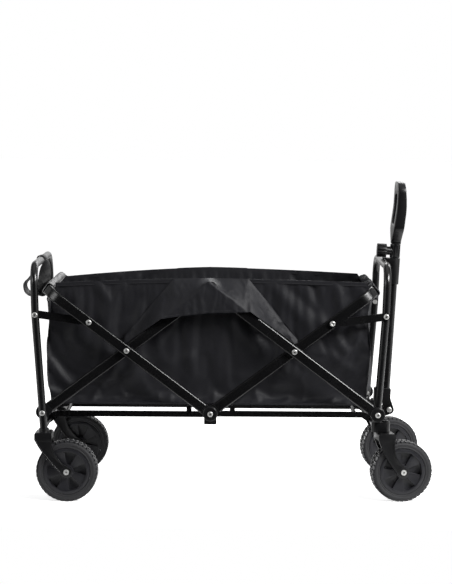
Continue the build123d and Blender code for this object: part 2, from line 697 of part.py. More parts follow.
# ---------------------------------------------------------------- wheels, forks and casters
for label, side in (("right", -1), ("left", 1)):
    foot_x = -post_x(fork_crown_z)
    hub = wheel_frame(foot_x + rear_trail, side * rear_post_y, wheel_radius, 0)
    with BuildPart() as rear_fork:
        add(fork(wheel_frame(foot_x, side * rear_post_y, 0, 0), rear_trail).part)
        with BuildSketch(Plane.XY.offset(fork_crown_z)):
            with Locations((foot_x, side * rear_post_y)):
                Circle(post_radius + fork_socket_wall)
        extrude(amount=fork_socket_high)
        post_bore(-1, side * rear_post_y, fork_crown_z, 2 * fork_socket_high)
        disc(-post_x(lower_tube_z), 0, lower_tube_z, post_radius, 2 * rear_post_y, Mode.SUBTRACT)
    save(rear_fork, f"rear_fork_{label}")
    with BuildPart() as rear_axle:
        axle(hub)
    save(rear_axle, f"rear_axle_{label}")
    save(wheel_disc(hub), f"rear_wheel_{label}")
    save(tyre_ring(hub), f"rear_tyre_{label}")

    stem_y = side * front_post_y
    turn = radians(caster_yaw)
    caster_hub = wheel_frame(
        stem_x + caster_trail * cos(turn), stem_y + caster_trail * sin(turn), wheel_radius, caster_yaw
    )
    with BuildPart() as caster_fork:
        add(fork(wheel_frame(stem_x, stem_y, 0, caster_yaw), caster_trail).part)
        with BuildSketch(Plane.XY.offset(fork_crown_z)):
            with Locations((stem_x, stem_y)):
                Circle(stem_radius)
        extrude(amount=block_top_z + turn_clear - fork_crown_z)
        with BuildSketch(Plane.XY.offset(block_top_z + turn_clear)):
            with Locations((stem_x, stem_y)):
                Circle(stem_cap_radius)
        extrude(amount=stem_cap_high)
    save(caster_fork, f"caster_fork_{label}")
    with BuildPart() as caster_axle:
        axle(caster_hub)
    save(caster_axle, f"caster_axle_{label}")
    save(wheel_disc(caster_hub), f"front_wheel_{label}")
    save(tyre_ring(caster_hub), f"front_tyre_{label}")

    with BuildPart() as caster_block:
        with BuildSketch(Plane.XY.offset(block_bottom_z)):
            with Locations((post_x(lower_tube_z), stem_y), (stem_x, stem_y)):
                Circle(post_radius + caster_wall)
            make_hull()
        extrude(amount=block_top_z - block_bottom_z)
        with BuildSketch(Plane.XY.offset(block_bottom_z)):
            with Locations((stem_x, stem_y)):
                Circle(stem_radius + turn_clear)
        extrude(amount=block_top_z - block_bottom_z, mode=Mode.SUBTRACT)
        post_bore(1, stem_y, block_bottom_z, 2 * (block_top_z - block_bottom_z))
        disc(post_x(lower_tube_z), 0, lower_tube_z, post_radius, 2 * front_post_y, Mode.SUBTRACT)
    save(caster_block, f"caster_block_{label}")

# ---------------------------------------------------------------- folding base
save(base_rails(-1, base_rail_y), "rear_base_rails")
save(base_rails(1, front_rail_y), "front_base_rails")

# ---------------------------------------------------------------- fabric box
with BuildPart() as top_joint_bolts:
    for side in (-1, 1):
        shank_y = side * (outer_free_y + wall_outside_y) / 2
        disc(0, shank_y, top_pivot_z, bolt_radius, outer_free_y - wall_outside_y)
        button(
            0, top_pivot_z, side * outer_free_y, side * (outer_free_y + bolt_head_high),
            bolt_head_radius, bolt_head_round,
        )
        spacer_y = (inner_free_y - turn_clear + wall_outside_y) / 2
        disc(0, side * spacer_y, top_pivot_z, nut_radius, inner_free_y - turn_clear - wall_outside_y)
save(top_joint_bolts, "top_joint_bolts")

outer_end_x = basket_end_x + wall_thick / 2
hood_tip_z = top_pivot_z - hood_tip_drop
hood_hem_z = top_pivot_z - hood_hem_drop
for label, side in (("right", -1), ("left", 1)):
    with BuildPart() as side_wall:
        with BuildSketch(side_plane(0, side * basket_half_width, 0)):
            Polygon(
                (-outer_end_x, basket_bottom_z), (outer_end_x, basket_bottom_z),
                (outer_end_x, basket_notch_z), (outer_end_x - basket_notch, basket_notch_z),
                (outer_end_x - basket_notch, basket_corner_z),
                (0, basket_middle_z), (basket_notch - outer_end_x, basket_corner_z),
                (basket_notch - outer_end_x, basket_notch_z), (-outer_end_x, basket_notch_z),
                align=None,
            )
        extrude(amount=wall_thick / 2, both=True)
    save(side_wall, f"side_wall_{label}")

    hood_y = outer_free_y + hood_gap
    with BuildPart() as hood:
        with BuildSketch(side_plane(0, side * (hood_y + hood_thick / 2), 0)):
            Polygon(
                (-hood_rim_half, basket_middle_z), (-hood_tip_x, hood_tip_z), (-hood_hem_x, hood_hem_z),
                (hood_hem_x, hood_hem_z), (hood_tip_x, hood_tip_z), (hood_rim_half, basket_middle_z),
                align=None,
            )
        extrude(amount=hood_thick / 2, both=True)
        top_wide = hood_y + hood_thick - wall_outside_y
        with Locations((0, side * (wall_outside_y + top_wide / 2), basket_middle_z - hood_thick / 2)):
            Box(2 * hood_rim_half, top_wide, hood_thick)
    save(hood, f"hood_{label}")

for name, end in (("rear", -1), ("front", 1)):
    with BuildPart() as end_wall:
        with Locations((end * basket_end_x, 0, basket_bottom_z)):
            Box(wall_thick, 2 * wall_inside_y, basket_notch_z - basket_bottom_z,
                align=(Align.CENTER, Align.CENTER, Align.MIN))
    save(end_wall, f"end_wall_{name}")

with BuildPart() as floor_panel:
    with Locations((0, 0, basket_bottom_z)):
        Box(2 * (basket_end_x - wall_thick / 2), 2 * wall_inside_y, floor_thick,
            align=(Align.CENTER, Align.CENTER, Align.MIN))
save(floor_panel, "floor_panel")

with BuildPart() as carry_strap:
    tube_x = -post_x(top_tube_z)
    beside = post_radius + strap_thick + cover_clear
    under = [(-out, -drop) for out, drop in strap_route]
    with BuildSketch(side_plane(tube_x, 0, top_tube_z)) as loop:
        with BuildLine():
            FilletPolyline(
                (beside, -beside), (beside, beside), (-beside, beside), *under, radius=strap_bend, close=True
            )
        make_face()
        offset(amount=-strap_thick, mode=Mode.SUBTRACT)
    extrude(loop.sketch, amount=strap_width / 2, both=True)
save(carry_strap, "rear_carry_strap")

# ---------------------------------------------------------------- pull handle
handle_up = Vector(sin(lean), 0, cos(lean))
handle_out = Vector(cos(lean), 0, -sin(lean))
handle_root = Vector(handle_axis_x, 0, handle_pivot_z)


def handle_plane(along):
    """A plane square to the handle, at a distance up it from the height of its pivot."""
    return Plane(origin=handle_root + handle_up * along, x_dir=handle_out, z_dir=handle_up)


handle_side = Plane(origin=handle_root, x_dir=handle_out, z_dir=(0, -1, 0))
handle_face = Plane(origin=handle_root, x_dir=(0, 1, 0), z_dir=handle_out)

with BuildPart() as handle_foot:
    block_high = handle_foot_top - handle_foot_low
    block_middle = (handle_foot_out - handle_foot_in) / 2
    with BuildSketch(handle_side):
        with Locations((handle_pivot_inset * cos(lean), handle_pivot_inset * sin(lean))):
            Circle(handle_eye_radius)
        with Locations((0, handle_foot_low + handle_eye_radius)):
            Circle(handle_eye_radius)
        make_hull()
        with Locations((block_middle, handle_foot_low + block_high / 2)):
            RectangleRounded(handle_foot_in + handle_foot_out, block_high, handle_foot_round)
    extrude(amount=handle_foot_wide / 2, both=True)
    pin_bore = handle_pin_radius + turn_clear
    disc(handle_pivot_x, 0, handle_pivot_z, pin_bore, 2 * handle_foot_wide, Mode.SUBTRACT)
save(handle_foot, "handle_foot")

with BuildPart() as handle_outer_tube:
    with BuildSketch(handle_plane(handle_foot_top)):
        Circle(handle_tube_radius)
        Circle(handle_tube_radius - handle_tube_wall, mode=Mode.SUBTRACT)
    extrude(amount=handle_tube_top - handle_foot_top)
save(handle_outer_tube, "handle_outer_tube")

with BuildPart() as handle_collar:
    with BuildSketch(handle_plane(handle_tube_top)):
        Circle(collar_radius)
        with PolarLocations(collar_radius, collar_ribs):
            Circle(collar_rib)
    extrude(amount=collar_high)
    for ring_at in (0, collar_high - collar_ring_high):
        with BuildSketch(handle_plane(handle_tube_top + ring_at)):
            Circle(collar_radius + collar_rib)
        extrude(amount=collar_ring_high)
    with BuildSketch(handle_plane(handle_tube_top)):
        Circle(inner_tube_radius + turn_clear)
    extrude(amount=collar_high, mode=Mode.SUBTRACT)
save(handle_collar, "handle_collar")

with BuildPart() as handle_knob:
    knob_root = handle_root + handle_up * knob_at
    with BuildSketch(Plane(origin=knob_root, x_dir=(0, 1, 0), z_dir=-handle_out)):
        Circle(knob_neck_radius)
    extrude(amount=knob_neck_out)
    knob_face = knob_root - handle_out * knob_neck_out
    with BuildSketch(Plane(origin=knob_face, x_dir=(0, 1, 0), z_dir=-handle_out)):
        Circle(knob_radius)
        with PolarLocations(knob_flute_at, knob_flutes):
            Circle(knob_flute_radius, mode=Mode.SUBTRACT)
    extrude(amount=knob_long)
    with BuildSketch(handle_plane(handle_tube_top - collar_rib)):
        Circle(collar_radius + collar_rib)
    extrude(amount=collar_high + 2 * collar_rib, mode=Mode.SUBTRACT)
save(handle_knob, "handle_knob")

with BuildPart() as handle_clip:
    tube_out = (Vector(post_x(top_tube_z), 0, top_tube_z) - handle_root).dot(handle_out)
    with BuildSketch(handle_plane(clip_low)):
        Circle(clip_radius)
    extrude(amount=handle_tube_top - clip_low - collar_rib)
    with BuildSketch(handle_side):
        with Locations((0, tube_up)):
            Rectangle(clip_reach + clip_radius, 2 * clip_jaw, align=(Align.MAX, Align.CENTER))
    extrude(amount=clip_wide / 2, both=True)
    disc(post_x(top_tube_z), 0, top_tube_z, post_radius + 2 * turn_clear, 2 * clip_wide, Mode.SUBTRACT)
    with BuildSketch(handle_side):
        with Locations((tube_out, tube_up)):
            Rectangle(4 * clip_jaw, 4 * clip_jaw, align=(Align.MAX, Align.CENTER))
    extrude(amount=clip_wide, both=True, mode=Mode.SUBTRACT)
    with BuildSketch(handle_plane(0)):
        Circle(handle_tube_radius)
    extrude(amount=handle_tube_top, mode=Mode.SUBTRACT)
save(handle_clip, "handle_clip")

with BuildPart() as handle_inner_tube:
    with BuildSketch(handle_plane(inner_tube_foot)):
        Circle(inner_tube_radius)
    extrude(amount=grip_foot - inner_tube_foot)
save(handle_inner_tube, "handle_inner_tube")

with BuildPart() as handle_grip:
    hole_top = grip_top - grip_top_bar
    top_corner_y = grip_half_width - grip_top_corner
    side_corner_y = grip_half_width - grip_side_corner
    with BuildSketch(handle_face) as outline:
        with Locations((0, grip_foot + grip_neck_radius)):
            Circle(grip_neck_radius)
        for half in (-1, 1):
            with Locations((half * top_corner_y, grip_top - grip_top_corner)):
                Circle(grip_top_corner)
            with Locations((half * side_corner_y, hole_top - grip_hole_high)):
                Circle(grip_side_corner)
        make_hull()
        with Locations((0, grip_foot)):
            Rectangle(2 * grip_neck_radius, grip_neck_radius, align=(Align.CENTER, Align.MIN))
        with Locations((0, hole_top - grip_hole_high / 2)):
            RectangleRounded(
                2 * (grip_half_width - grip_bar), grip_hole_high, grip_neck_radius, mode=Mode.SUBTRACT
            )
    extrude(outline.sketch, amount=2 * grip_neck_radius, both=True)
    grip_root = handle_root + handle_up * grip_foot
    with BuildSketch(Plane(origin=grip_root, x_dir=handle_out, z_dir=(0, -1, 0))) as profile:
        with BuildLine():
            outer_edge = Spline(*grip_outboard)
            inner_edge = Spline(*grip_inboard)
            Line(outer_edge @ 1, inner_edge @ 0)
            Line(inner_edge @ 1, outer_edge @ 0)
        make_face()
    extrude(profile.sketch, amount=grip_half_width, both=True, mode=Mode.INTERSECT)
save(handle_grip, "handle_grip")
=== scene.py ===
"""Folding cart: finishes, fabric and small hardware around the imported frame.

Metres, +X to the pull handle, +Y to the left side, +Z up.
"""
import json
from math import atan2, cos, exp, pi, radians, sin, sqrt

import bmesh
import bpy
import numpy as np
from mathutils import Matrix, Vector, noise

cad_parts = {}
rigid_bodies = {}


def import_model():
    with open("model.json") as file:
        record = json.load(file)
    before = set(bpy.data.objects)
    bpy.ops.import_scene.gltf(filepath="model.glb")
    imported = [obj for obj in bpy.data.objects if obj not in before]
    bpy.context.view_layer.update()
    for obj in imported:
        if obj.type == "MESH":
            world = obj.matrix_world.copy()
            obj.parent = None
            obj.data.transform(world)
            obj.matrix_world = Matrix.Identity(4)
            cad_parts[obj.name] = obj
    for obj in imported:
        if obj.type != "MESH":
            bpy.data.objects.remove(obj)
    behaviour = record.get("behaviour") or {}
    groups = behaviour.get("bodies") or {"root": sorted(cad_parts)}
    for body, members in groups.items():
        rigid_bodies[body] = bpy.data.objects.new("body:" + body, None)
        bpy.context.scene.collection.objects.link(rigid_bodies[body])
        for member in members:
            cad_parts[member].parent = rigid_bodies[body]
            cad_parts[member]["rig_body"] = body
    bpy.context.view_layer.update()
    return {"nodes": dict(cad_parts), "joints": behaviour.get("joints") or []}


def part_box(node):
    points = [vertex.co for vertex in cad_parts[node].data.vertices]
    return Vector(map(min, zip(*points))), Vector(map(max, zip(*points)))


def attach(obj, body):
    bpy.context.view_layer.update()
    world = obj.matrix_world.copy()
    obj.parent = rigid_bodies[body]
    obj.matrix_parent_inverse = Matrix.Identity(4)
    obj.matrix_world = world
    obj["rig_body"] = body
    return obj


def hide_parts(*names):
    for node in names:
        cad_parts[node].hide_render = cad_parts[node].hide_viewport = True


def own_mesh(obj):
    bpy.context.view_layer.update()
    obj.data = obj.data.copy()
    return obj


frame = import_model()
scene = bpy.context.scene
joints = {joint["name"]: joint for joint in frame["joints"]}
sides = (("right", -1), ("left", 1))
ends = (("rear", -1), ("front", 1))
wheel_places = [(end, label) for end, _ in ends for label, _ in sides]

# ---------------------------------------------------------------- places read from the frame
top_pivot = Vector(joints["top_joint"]["pos_m"])
crossing = Vector(joints["front_cross"]["pos_m"])
bar_slope = (top_pivot.z - crossing.z) / crossing.x
bar_angle = atan2(bar_slope, 1)
bar_half_height = 0.015
bar_edge_rise = bar_half_height / cos(bar_angle)

wall_low, wall_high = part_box("side_wall_right")
wall_end = wall_high.x
wall_bottom = wall_low.z
wall_top = wall_high.z
wall_y = -(wall_low.y + wall_high.y) / 2
rim_end_gap = 0.024
rim_half = wall_end - rim_end_gap
notch_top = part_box("end_wall_front")[1].z
cloth_thick = 0.0012


# ---------------------------------------------------------------- shader groups
FLOAT, VECTOR = "NodeSocketFloat", "NodeSocketVector"


def add_node(tree, kind, **values):
    """A node with its plain properties and named inputs set."""
    node = tree.nodes.new(kind)
    for name, value in values.items():
        if name in node.inputs:
            node.inputs[name].default_value = value
        else:
            setattr(node, name, value)
    return node


def new_group(name, inputs, outputs):
    """An empty shader group; inputs are (name, socket type, value) and outputs are names of numbers."""
    tree = bpy.data.node_groups.new(name, "ShaderNodeTree")
    for label, kind, value in inputs:
        socket = tree.interface.new_socket(label, in_out="INPUT", socket_type=kind)
        if value is not None:
            socket.default_value = value
    for label in outputs:
        tree.interface.new_socket(label, in_out="OUTPUT", socket_type=FLOAT)
    return tree, tree.nodes.new("NodeGroupInput"), tree.nodes.new("NodeGroupOutput")


def math_node(tree, operation, *values, clamp=False):
    """A Math node fed by sockets or numbers."""
    node = tree.nodes.new("ShaderNodeMath")
    node.operation = operation
    node.use_clamp = clamp
    for socket, value in zip(node.inputs, values):
        if isinstance(value, (int, float)):
            socket.default_value = value
        else:
            tree.links.new(value, socket)
    return node.outputs[0]


def grain_group():
    """Fine surface grain: a height and a slow variation, from a place and a size in metres."""
    tree, start, end = new_group(
        "surface_grain",
        [("Place", VECTOR, None), ("Grain", FLOAT, 900.0), ("Patch", FLOAT, 14.0)],
        ["Height", "Patches"],
    )
    fine = add_node(tree, "ShaderNodeTexNoise", Detail=3.0, Roughness=0.6)
    slow = add_node(tree, "ShaderNodeTexNoise", Detail=4.0, Roughness=0.55)
    for node, size in ((fine, "Grain"), (slow, "Patch")):
        tree.links.new(start.outputs["Place"], node.inputs["Vector"])
        tree.links.new(start.outputs[size], node.inputs["Scale"])
    tree.links.new(fine.outputs[0], end.inputs["Height"])
    tree.links.new(slow.outputs[0], end.inputs["Patches"])
    return tree


def weave_group():
    """A plain weave on a surface's own map in metres: a height, and a shade along the threads."""
    tree, start, end = new_group(
        "plain_weave", [("Map", VECTOR, None), ("Threads", FLOAT, 900.0)], ["Height", "Shade"]
    )
    split = tree.nodes.new("ShaderNodeSeparateXYZ")
    tree.links.new(start.outputs["Map"], split.inputs[0])
    waves = []
    for axis in (0, 1):
        turns = math_node(tree, "MULTIPLY", split.outputs[axis], start.outputs["Threads"])
        waves.append(math_node(tree, "SINE", math_node(tree, "MULTIPLY", turns, 2 * pi)))
    crossed = math_node(tree, "MULTIPLY", waves[0], waves[1])
    height = math_node(tree, "MULTIPLY_ADD", crossed, 0.5, 0.5)
    uneven = add_node(tree, "ShaderNodeTexNoise", Scale=160.0, Detail=2.0)
    tree.links.new(start.outputs["Map"], uneven.inputs["Vector"])
    tree.links.new(height, end.inputs["Height"])
    tree.links.new(math_node(tree, "MULTIPLY", height, uneven.outputs[0]), end.inputs["Shade"])
    return tree


def wear_group():
    """Scuffs: a mask of small worn spots, where a noise passes its threshold."""
    threshold, sharpness = 0.6, 8.0
    tree, start, end = new_group(
        "scuffs", [("Place", VECTOR, None), ("Size", FLOAT, 60.0), ("Amount", FLOAT, 0.5)], ["Mask"]
    )
    spots = add_node(tree, "ShaderNodeTexNoise", Detail=6.0, Roughness=0.7)
    tree.links.new(start.outputs["Place"], spots.inputs["Vector"])
    tree.links.new(start.outputs["Size"], spots.inputs["Scale"])
    over = math_node(tree, "SUBTRACT", spots.outputs[0], threshold)
    mask = math_node(tree, "MULTIPLY", over, start.outputs["Amount"])
    tree.links.new(math_node(tree, "MULTIPLY", mask, sharpness, clamp=True), end.inputs["Mask"])
    return tree


GRAIN, WEAVE, SCUFFS = grain_group(), weave_group(), wear_group()


# ---------------------------------------------------------------- materials
thread_gap_shade = (0.45, 0.45, 0.45)
roughness_spread = 0.16
relief_depth = 0.0004


def place_group(tree, group, **values):
    """A shader group placed in a material with its own values."""
    node = tree.nodes.new("ShaderNodeGroup")
    node.node_tree = group
    for name, value in values.items():
        node.inputs[name].default_value = value
    return node


def mix_colours(tree, first, second, factor, blend_type="MIX"):
    """Two colours mixed by a mask; a colour is a socket or three plain values."""
    node = add_node(tree, "ShaderNodeMix", data_type="RGBA", blend_type=blend_type)
    for label, value in (("A", first), ("B", second)):
        if isinstance(value, tuple):
            node.inputs[label].default_value = (*value, 1)
        else:
            tree.links.new(value, node.inputs[label])
    tree.links.new(factor, node.inputs["Factor"])
    return node.outputs["Result"]


def finish(name, dark, light, roughness, grain, bump,
           metallic=0.0, patch=14.0, scuff=None, weave=None, **shader):
    """A material of two tones in slow patches, with varied roughness and a bump from grain or weave."""
    material = bpy.data.materials.new(name)
    material.use_nodes = True
    tree = material.node_tree
    surface = tree.nodes["Principled BSDF"]
    surface.inputs["Metallic"].default_value = metallic
    for label, value in shader.items():
        surface.inputs[label.replace("_", " ")].default_value = value
    where = tree.nodes.new("ShaderNodeTexCoord")
    texture = place_group(tree, GRAIN, Grain=grain, Patch=patch)
    tree.links.new(where.outputs["Object"], texture.inputs["Place"])
    patches, height = texture.outputs["Patches"], texture.outputs["Height"]
    colour = mix_colours(tree, dark, light, patches)
    if weave:
        threads = place_group(tree, WEAVE, Threads=weave)
        tree.links.new(where.outputs["UV"], threads.inputs["Map"])
        height = threads.outputs["Height"]
        colour = mix_colours(tree, colour, thread_gap_shade, threads.outputs["Shade"], "MULTIPLY")
    if scuff:
        size, amount, worn = scuff
        marks = place_group(tree, SCUFFS, Size=size, Amount=amount)
        tree.links.new(where.outputs["Object"], marks.inputs["Place"])
        colour = mix_colours(tree, colour, worn, marks.outputs["Mask"])
    tree.links.new(colour, surface.inputs["Base Color"])
    smoothest = roughness - roughness_spread / 2
    varied = math_node(tree, "MULTIPLY_ADD", patches, roughness_spread, smoothest)
    tree.links.new(varied, surface.inputs["Roughness"])
    relief = add_node(tree, "ShaderNodeBump", Strength=bump, Distance=relief_depth)
    tree.links.new(height, relief.inputs["Height"])
    tree.links.new(relief.outputs[0], surface.inputs["Normal"])
    return material


powder_coat = finish(
    "black_powder_coat", (0.0022, 0.0022, 0.0024), (0.004, 0.004, 0.0043),
    roughness=0.26, grain=700, bump=0.1, scuff=(90, 0.2, (0.012, 0.012, 0.0125)),
)
moulded = finish(
    "moulded_black_plastic", (0.003, 0.003, 0.0033), (0.006, 0.006, 0.0066),
    roughness=0.33, grain=1400, bump=0.15,
    scuff=(120, 0.2, (0.014, 0.014, 0.015)), Specular_IOR_Level=0.35,
)
wheel_plastic = finish(
    "wheel_plastic", (0.011, 0.011, 0.013), (0.018, 0.018, 0.021),
    roughness=0.34, grain=1300, bump=0.15,
    scuff=(80, 0.2, (0.022, 0.022, 0.023)), Specular_IOR_Level=0.3,
)
rubber = finish(
    "tyre_rubber", (0.010, 0.010, 0.0112), (0.018, 0.018, 0.02),
    roughness=0.66, grain=1100, bump=0.35,
    patch=30, scuff=(70, 0.4, (0.042, 0.042, 0.044)), Specular_IOR_Level=0.4,
)
tread_rubber = finish(
    "tread_rubber", (0.012, 0.012, 0.0135), (0.026, 0.026, 0.0285),
    roughness=0.27, grain=1100, bump=0.2, patch=60,
)
zinc = finish(
    "zinc_plate", (0.55, 0.55, 0.54), (0.8, 0.8, 0.78),
    roughness=0.44, grain=2200, bump=0.1, metallic=1.0, patch=160,
)
socket_dark = finish(
    "socket_shadow", (0.03, 0.03, 0.03), (0.06, 0.06, 0.06),
    roughness=0.5, grain=2000, bump=0.1, metallic=1.0,
)
nylon = finish(
    "black_nylon", (0.0085, 0.0085, 0.0105), (0.0135, 0.0135, 0.0165),
    roughness=0.54, grain=600, bump=0.2,
    patch=9, weave=900, Sheen_Weight=0.05, Sheen_Roughness=0.4, Sheen_Tint=(0.62, 0.64, 0.75, 1),
    Specular_IOR_Level=0.22,
)
webbing = finish(
    "webbing", (0.003, 0.003, 0.0032), (0.014, 0.014, 0.015),
    roughness=0.5, grain=500, bump=0.6,
    patch=60, weave=420, Sheen_Weight=0.03, Specular_IOR_Level=0.35,
)
coated = finish(
    "coated_sleeve_cloth", (0.008, 0.008, 0.01), (0.014, 0.014, 0.016),
    roughness=0.33, grain=500, bump=0.3,
    patch=25, weave=700, Sheen_Weight=0.3,
)
thread = finish(
    "sewing_thread", (0.018, 0.018, 0.02), (0.035, 0.035, 0.038),
    roughness=0.6, grain=3000, bump=0.3,
)


# ---------------------------------------------------------------- mesh helpers
def link_mesh(name, mesh, *materials):
    """A new object for a mesh, with its materials."""
    piece = bpy.data.objects.new(name, mesh)
    scene.collection.objects.link(piece)
    mesh.materials.clear()
    for material in materials:
        mesh.materials.append(material)
    return piece


def mesh_of(name, points, faces):
    """A mesh from points and faces, with its normals made consistent."""
    mesh = bpy.data.meshes.new(name)
    mesh.from_pydata([tuple(p) for p in points], [], faces)
    work = bmesh.new()
    work.from_mesh(mesh)
    bmesh.ops.remove_doubles(work, verts=work.verts, dist=1e-6)
    bmesh.ops.recalc_face_normals(work, faces=work.faces)
    work.to_mesh(mesh)
    work.free()
    return mesh


def bake(piece):
    """Turns a piece's live modifiers into its plain mesh."""
    graph = bpy.context.evaluated_depsgraph_get()
    mesh = bpy.data.meshes.new_from_object(
        piece.evaluated_get(graph), preserve_all_data_layers=True, depsgraph=graph
    )
    piece.modifiers.clear()
    piece.data = mesh
    return piece


def round_shade(piece, degrees):
    """Smooth shading with edges sharper than an angle kept crisp."""
    piece.data.shade_smooth()
    piece.data.set_sharp_from_angle(angle=radians(degrees))
    return piece


def cloth_grid(name, columns, rows, place, size):
    """A nylon sheet of columns by rows cells, its points from place(u, v) and its map in metres."""
    points = [place(i / columns, j / rows) for j in range(rows + 1) for i in range(columns + 1)]
    wide = columns + 1
    faces = [
        (j * wide + i, j * wide + i + 1, (j + 1) * wide + i + 1, (j + 1) * wide + i)
        for j in range(rows) for i in range(columns)
    ]
    mesh = bpy.data.meshes.new(name)
    mesh.from_pydata([tuple(p) for p in points], [], faces)
    layer = mesh.uv_layers.new(name="cloth")
    for loop in mesh.loops:
        j, i = divmod(loop.vertex_index, wide)
        layer.data[loop.index].uv = (i / columns * size[0], j / rows * size[1])
    return link_mesh(name, mesh, nylon)


def thicken(piece, thick, subdivide=0, offset=0, crisp=60):
    """Gives a sheet its thickness, about or inwards from itself, after an optional subdivision."""
    if subdivide:
        finer = piece.modifiers.new("Smooth", "SUBSURF")
        finer.levels = finer.render_levels = subdivide
    shell = piece.modifiers.new("Thickness", "SOLIDIFY")
    shell.thickness = thick
    shell.offset = offset
    return round_shade(bake(piece), crisp)


def merged_copy(node, name, material):
    """A copy of a CAD node's mesh with its triangles merged into whole faces."""
    mesh = frame["nodes"][node].data.copy()
    work = bmesh.new()
    work.from_mesh(mesh)
    bmesh.ops.remove_doubles(work, verts=work.verts, dist=2e-6)
    bmesh.ops.dissolve_limit(work, angle_limit=radians(1), verts=work.verts, edges=work.edges)
    work.to_mesh(mesh)
    work.free()
    return link_mesh(name, mesh, material)


def stand_in(piece, node):
    """Puts a finished piece on its CAD node's body, in place of the node."""
    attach(piece, frame["nodes"][node]["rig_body"])
    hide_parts(node)


def softened(node, material, width, segments):
    """A moulded CAD node with its edges rounded."""
    piece = merged_copy(node, f"{node}_moulded", material)
    rounding = piece.modifiers.new("Edges", "BEVEL")
    rounding.width = width
    rounding.segments = segments
    rounding.limit_method = "ANGLE"
    rounding.angle_limit = radians(35)
    round_shade(bake(piece), 30)
    stand_in(piece, node)


# ---------------------------------------------------------------- geometry trees
def geometry_tree(name, inputs):
    """An empty geometry tree with one Geometry socket each way and named inputs."""
    tree = bpy.data.node_groups.new(name, "GeometryNodeTree")
    tree.interface.new_socket("Geometry", in_out="INPUT", socket_type="NodeSocketGeometry")
    for label, kind in inputs:
        tree.interface.new_socket(label, in_out="INPUT", socket_type=kind)
    tree.interface.new_socket("Geometry", in_out="OUTPUT", socket_type="NodeSocketGeometry")
    return tree, tree.nodes.new("NodeGroupInput"), tree.nodes.new("NodeGroupOutput")


def close_tree(tree, start, end, instances):
    """Ends a tree in Realize Instances and Set Material."""
    whole = tree.nodes.new("GeometryNodeRealizeInstances")
    paint = tree.nodes.new("GeometryNodeSetMaterial")
    tree.links.new(instances, whole.inputs[0])
    tree.links.new(whole.outputs[0], paint.inputs["Geometry"])
    tree.links.new(start.outputs["Material"], paint.inputs["Material"])
    tree.links.new(paint.outputs[0], end.inputs[0])
    return tree


def run_tree(piece, tree, **values):
    """Runs a geometry tree on a piece with its inputs set, and keeps the plain result."""
    modifier = piece.modifiers.new(tree.name, "NODES")
    modifier.node_group = tree
    for item in tree.interface.items_tree:
        label = item.name.replace(" ", "_")
        if item.in_out == "INPUT" and label in values:
            modifier[item.identifier] = values[label]
    return bake(piece)


def stitch_tree():
    """A row of stitches along the edges of a mesh."""
    tree, start, end = geometry_tree("stitch_row", [
        ("Pitch", FLOAT), ("Length", FLOAT), ("Radius", FLOAT), ("Material", "NodeSocketMaterial"),
    ])
    curve = tree.nodes.new("GeometryNodeMeshToCurve")
    spread = tree.nodes.new("GeometryNodeResampleCurve")
    spread.mode = "LENGTH"
    stitch = tree.nodes.new("GeometryNodeMeshCylinder")
    stitch.inputs["Vertices"].default_value = 6
    along = tree.nodes.new("GeometryNodeInputTangent")
    turn = tree.nodes.new("FunctionNodeAlignRotationToVector")
    copies = tree.nodes.new("GeometryNodeInstanceOnPoints")
    links = tree.links
    links.new(start.outputs["Geometry"], curve.inputs[0])
    links.new(curve.outputs[0], spread.inputs["Curve"])
    links.new(start.outputs["Pitch"], spread.inputs["Length"])
    links.new(start.outputs["Length"], stitch.inputs["Depth"])
    links.new(start.outputs["Radius"], stitch.inputs["Radius"])
    links.new(along.outputs[0], turn.inputs["Vector"])
    links.new(spread.outputs[0], copies.inputs["Points"])
    links.new(stitch.outputs["Mesh"], copies.inputs["Instance"])
    links.new(turn.outputs[0], copies.inputs["Rotation"])
    return close_tree(tree, start, end, copies.outputs[0])


def copies_tree():
    """One shape repeated at each point of a mesh, turned by the point's own turn attribute."""
    tree, start, end = geometry_tree("repeated_shape", [
        ("Shape", "NodeSocketObject"), ("Material", "NodeSocketMaterial"),
    ])
    shape = tree.nodes.new("GeometryNodeObjectInfo")
    turn = tree.nodes.new("GeometryNodeInputNamedAttribute")
    turn.data_type = "FLOAT_VECTOR"
    turn.inputs["Name"].default_value = "turn"
    copies = tree.nodes.new("GeometryNodeInstanceOnPoints")
    points = tree.nodes.new("GeometryNodeMeshToPoints")
    links = tree.links
    links.new(start.outputs["Geometry"], points.inputs["Mesh"])
    links.new(start.outputs["Shape"], shape.inputs["Object"])
    links.new(shape.outputs["Geometry"], copies.inputs["Instance"])
    links.new(points.outputs[0], copies.inputs["Points"])
    links.new(turn.outputs[0], copies.inputs["Rotation"])
    return close_tree(tree, start, end, copies.outputs[0])


STITCHES, COPIES = stitch_tree(), copies_tree()


def stitch_row(name, points):
    """Stitches along a line of points, sewn to the box."""
    mesh = bpy.data.meshes.new(name)
    mesh.from_pydata([tuple(p) for p in points], [(i, i + 1) for i in range(len(points) - 1)], [])
    piece = link_mesh(name, mesh, thread)
    run_tree(piece, STITCHES, Pitch=0.0055, Length=0.0036, Radius=0.00045, Material=thread)
    return rig_cloth(piece)


